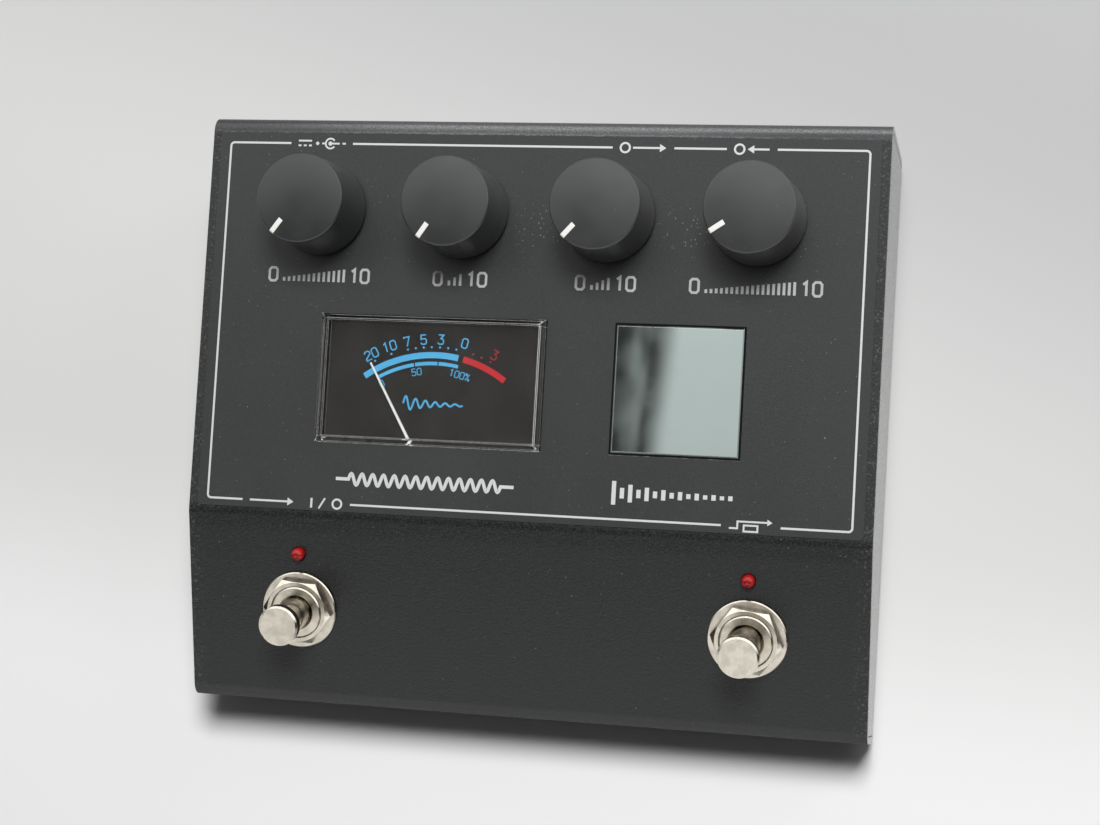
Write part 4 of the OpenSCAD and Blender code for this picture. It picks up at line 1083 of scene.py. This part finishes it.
def add_floor():
    """A pale floor, painted darker towards the back as painted shade."""
    paper = Finish("floor_paper", Roughness=0.9)
    ahead = paper.grade(paper.along(FRONT_WAY), *FRONT_FADE)
    behind = paper.grade(paper.along(BACK_WAY), *BACK_FADE)
    near = paper.blend(ahead, FLOOR_FRONT, FLOOR_MIDDLE)
    paper.set(Base_Color=paper.blend(behind, near, FLOOR_BACK))
    paper.bump(paper.noise(0.8 * MM), 0.01 * MM, 0.3)
    mesh = bpy.data.meshes.new("floor")
    reach = FLOOR_SIZE / 2
    corners = [(x * reach, y * reach, 0) for x, y in ((-1, -1), (1, -1), (1, 1), (-1, 1))]
    mesh.from_pydata(corners, [], [range(4)])
    mesh.materials.append(paper.material)
    floor = bpy.data.objects.new("floor", mesh)
    bpy.context.scene.collection.objects.link(floor)


def add_lamp(name, place, size, power):
    """A soft square lamp that faces the object and isn't itself mirrored in it."""
    lamp = bpy.data.objects.new(name, bpy.data.lights.new(name, "AREA"))
    lamp.data.energy = power
    lamp.data.size = size
    lamp.location = place
    lamp.visible_glossy = False
    lamp.rotation_euler = (-Vector(place)).to_track_quat("-Z", "Y").to_euler()
    bpy.context.scene.collection.objects.link(lamp)


def tent_light(sky, across, turn, height):
    """Light of the tent, weaker near the floor, with a glow on its left."""
    level = sky.ramp(turn, [(place, light / TENT_PEAK) for place, light in TENT])
    tent = sky.times(level, sky.grade(height, 0.0, 0.45, 0.3 * TENT_PEAK, TENT_PEAK))
    glow = sky.times(
        sky.grade(across, -0.34, -0.21, 0.0, GLOW),
        sky.grade(turn, 0.52, 0.57),
        sky.grade(across, -0.19, -0.12, 1.0, 0.25),
    )
    return sky.math("ADD", tent, glow)


def dark_patch(sky, across, along):
    """Where the tent is dark, and the streaked light that is left there."""
    slant = sky.math("ADD", across, sky.times(along, -0.10))
    patch = sky.times(
        sky.grade(slant, -0.187, -0.173, 1.0, 0.0),
        sky.grade(along, -0.2, -0.05),
        sky.grade(along, 0.3, 0.15),
        sky.grade(across, -0.55, -0.4),
    )
    spot = sky.node("ShaderNodeCombineXYZ")
    sky.feed(spot.inputs["X"], across)
    sky.feed(spot.inputs["Y"], sky.times(along, 0.55))
    streak = sky.grade(sky.noise(0.013, 1, spot.outputs[0]), 0.33, 0.7, 0.08, 0.33)
    border = sky.times(
        sky.grade(slant, -0.1905, -0.1865, 1.0, 0.5),
        sky.grade(slant, -0.2, -0.195, 0.7, 1.2),
    )
    return patch, sky.times(streak, border, patch)


def add_world():
    """A weak even fill, and a pale tent with a dark patch on its left that shiny surfaces show."""
    world = bpy.data.worlds.new("studio")
    world.use_nodes = True
    world.cycles.sampling_method = "NONE"
    sky = Tree(world.node_tree)
    aim = sky.node("ShaderNodeSeparateXYZ")
    sky.feed(aim.inputs[0], sky.node("ShaderNodeTexCoord").outputs["Generated"])
    x, y, z = aim.outputs
    above = sky.math("MAXIMUM", z, HORIZON)
    across = sky.math("DIVIDE", x, above)
    along = sky.math("DIVIDE", y, above)
    turn = sky.math("ADD", sky.times(y, 0.5), 0.5)
    tent = tent_light(sky, across, turn, z)
    patch, dark = dark_patch(sky, across, along)
    shown = sky.math("ADD", sky.times(tent, sky.math("SUBTRACT", 1.0, patch)), dark)
    ray = sky.node("ShaderNodeLightPath").outputs
    seen = sky.math("MAXIMUM", ray["Is Camera Ray"], ray["Is Glossy Ray"])
    seen = sky.math("MAXIMUM", seen, ray["Is Transmission Ray"])
    strength = sky.node("ShaderNodeMix")
    sky.feed(strength.inputs["Factor"], seen)
    sky.feed(strength.inputs["A"], FILL)
    sky.feed(strength.inputs["B"], shown)
    background = sky.node("ShaderNodeBackground")
    sky.feed(background.inputs["Strength"], strength.outputs["Result"])
    output = sky.node("ShaderNodeOutputWorld")
    sky.feed(output.inputs["Surface"], background.outputs[0])
    bpy.context.scene.world = world


add_camera()
finish_nodes()
print_panel()
print_dial()
add_springs()
add_floor()
add_lamp(*KEY)
add_lamp(*SIDE)
add_world()
bpy.context.scene.view_settings.view_transform = "Standard"
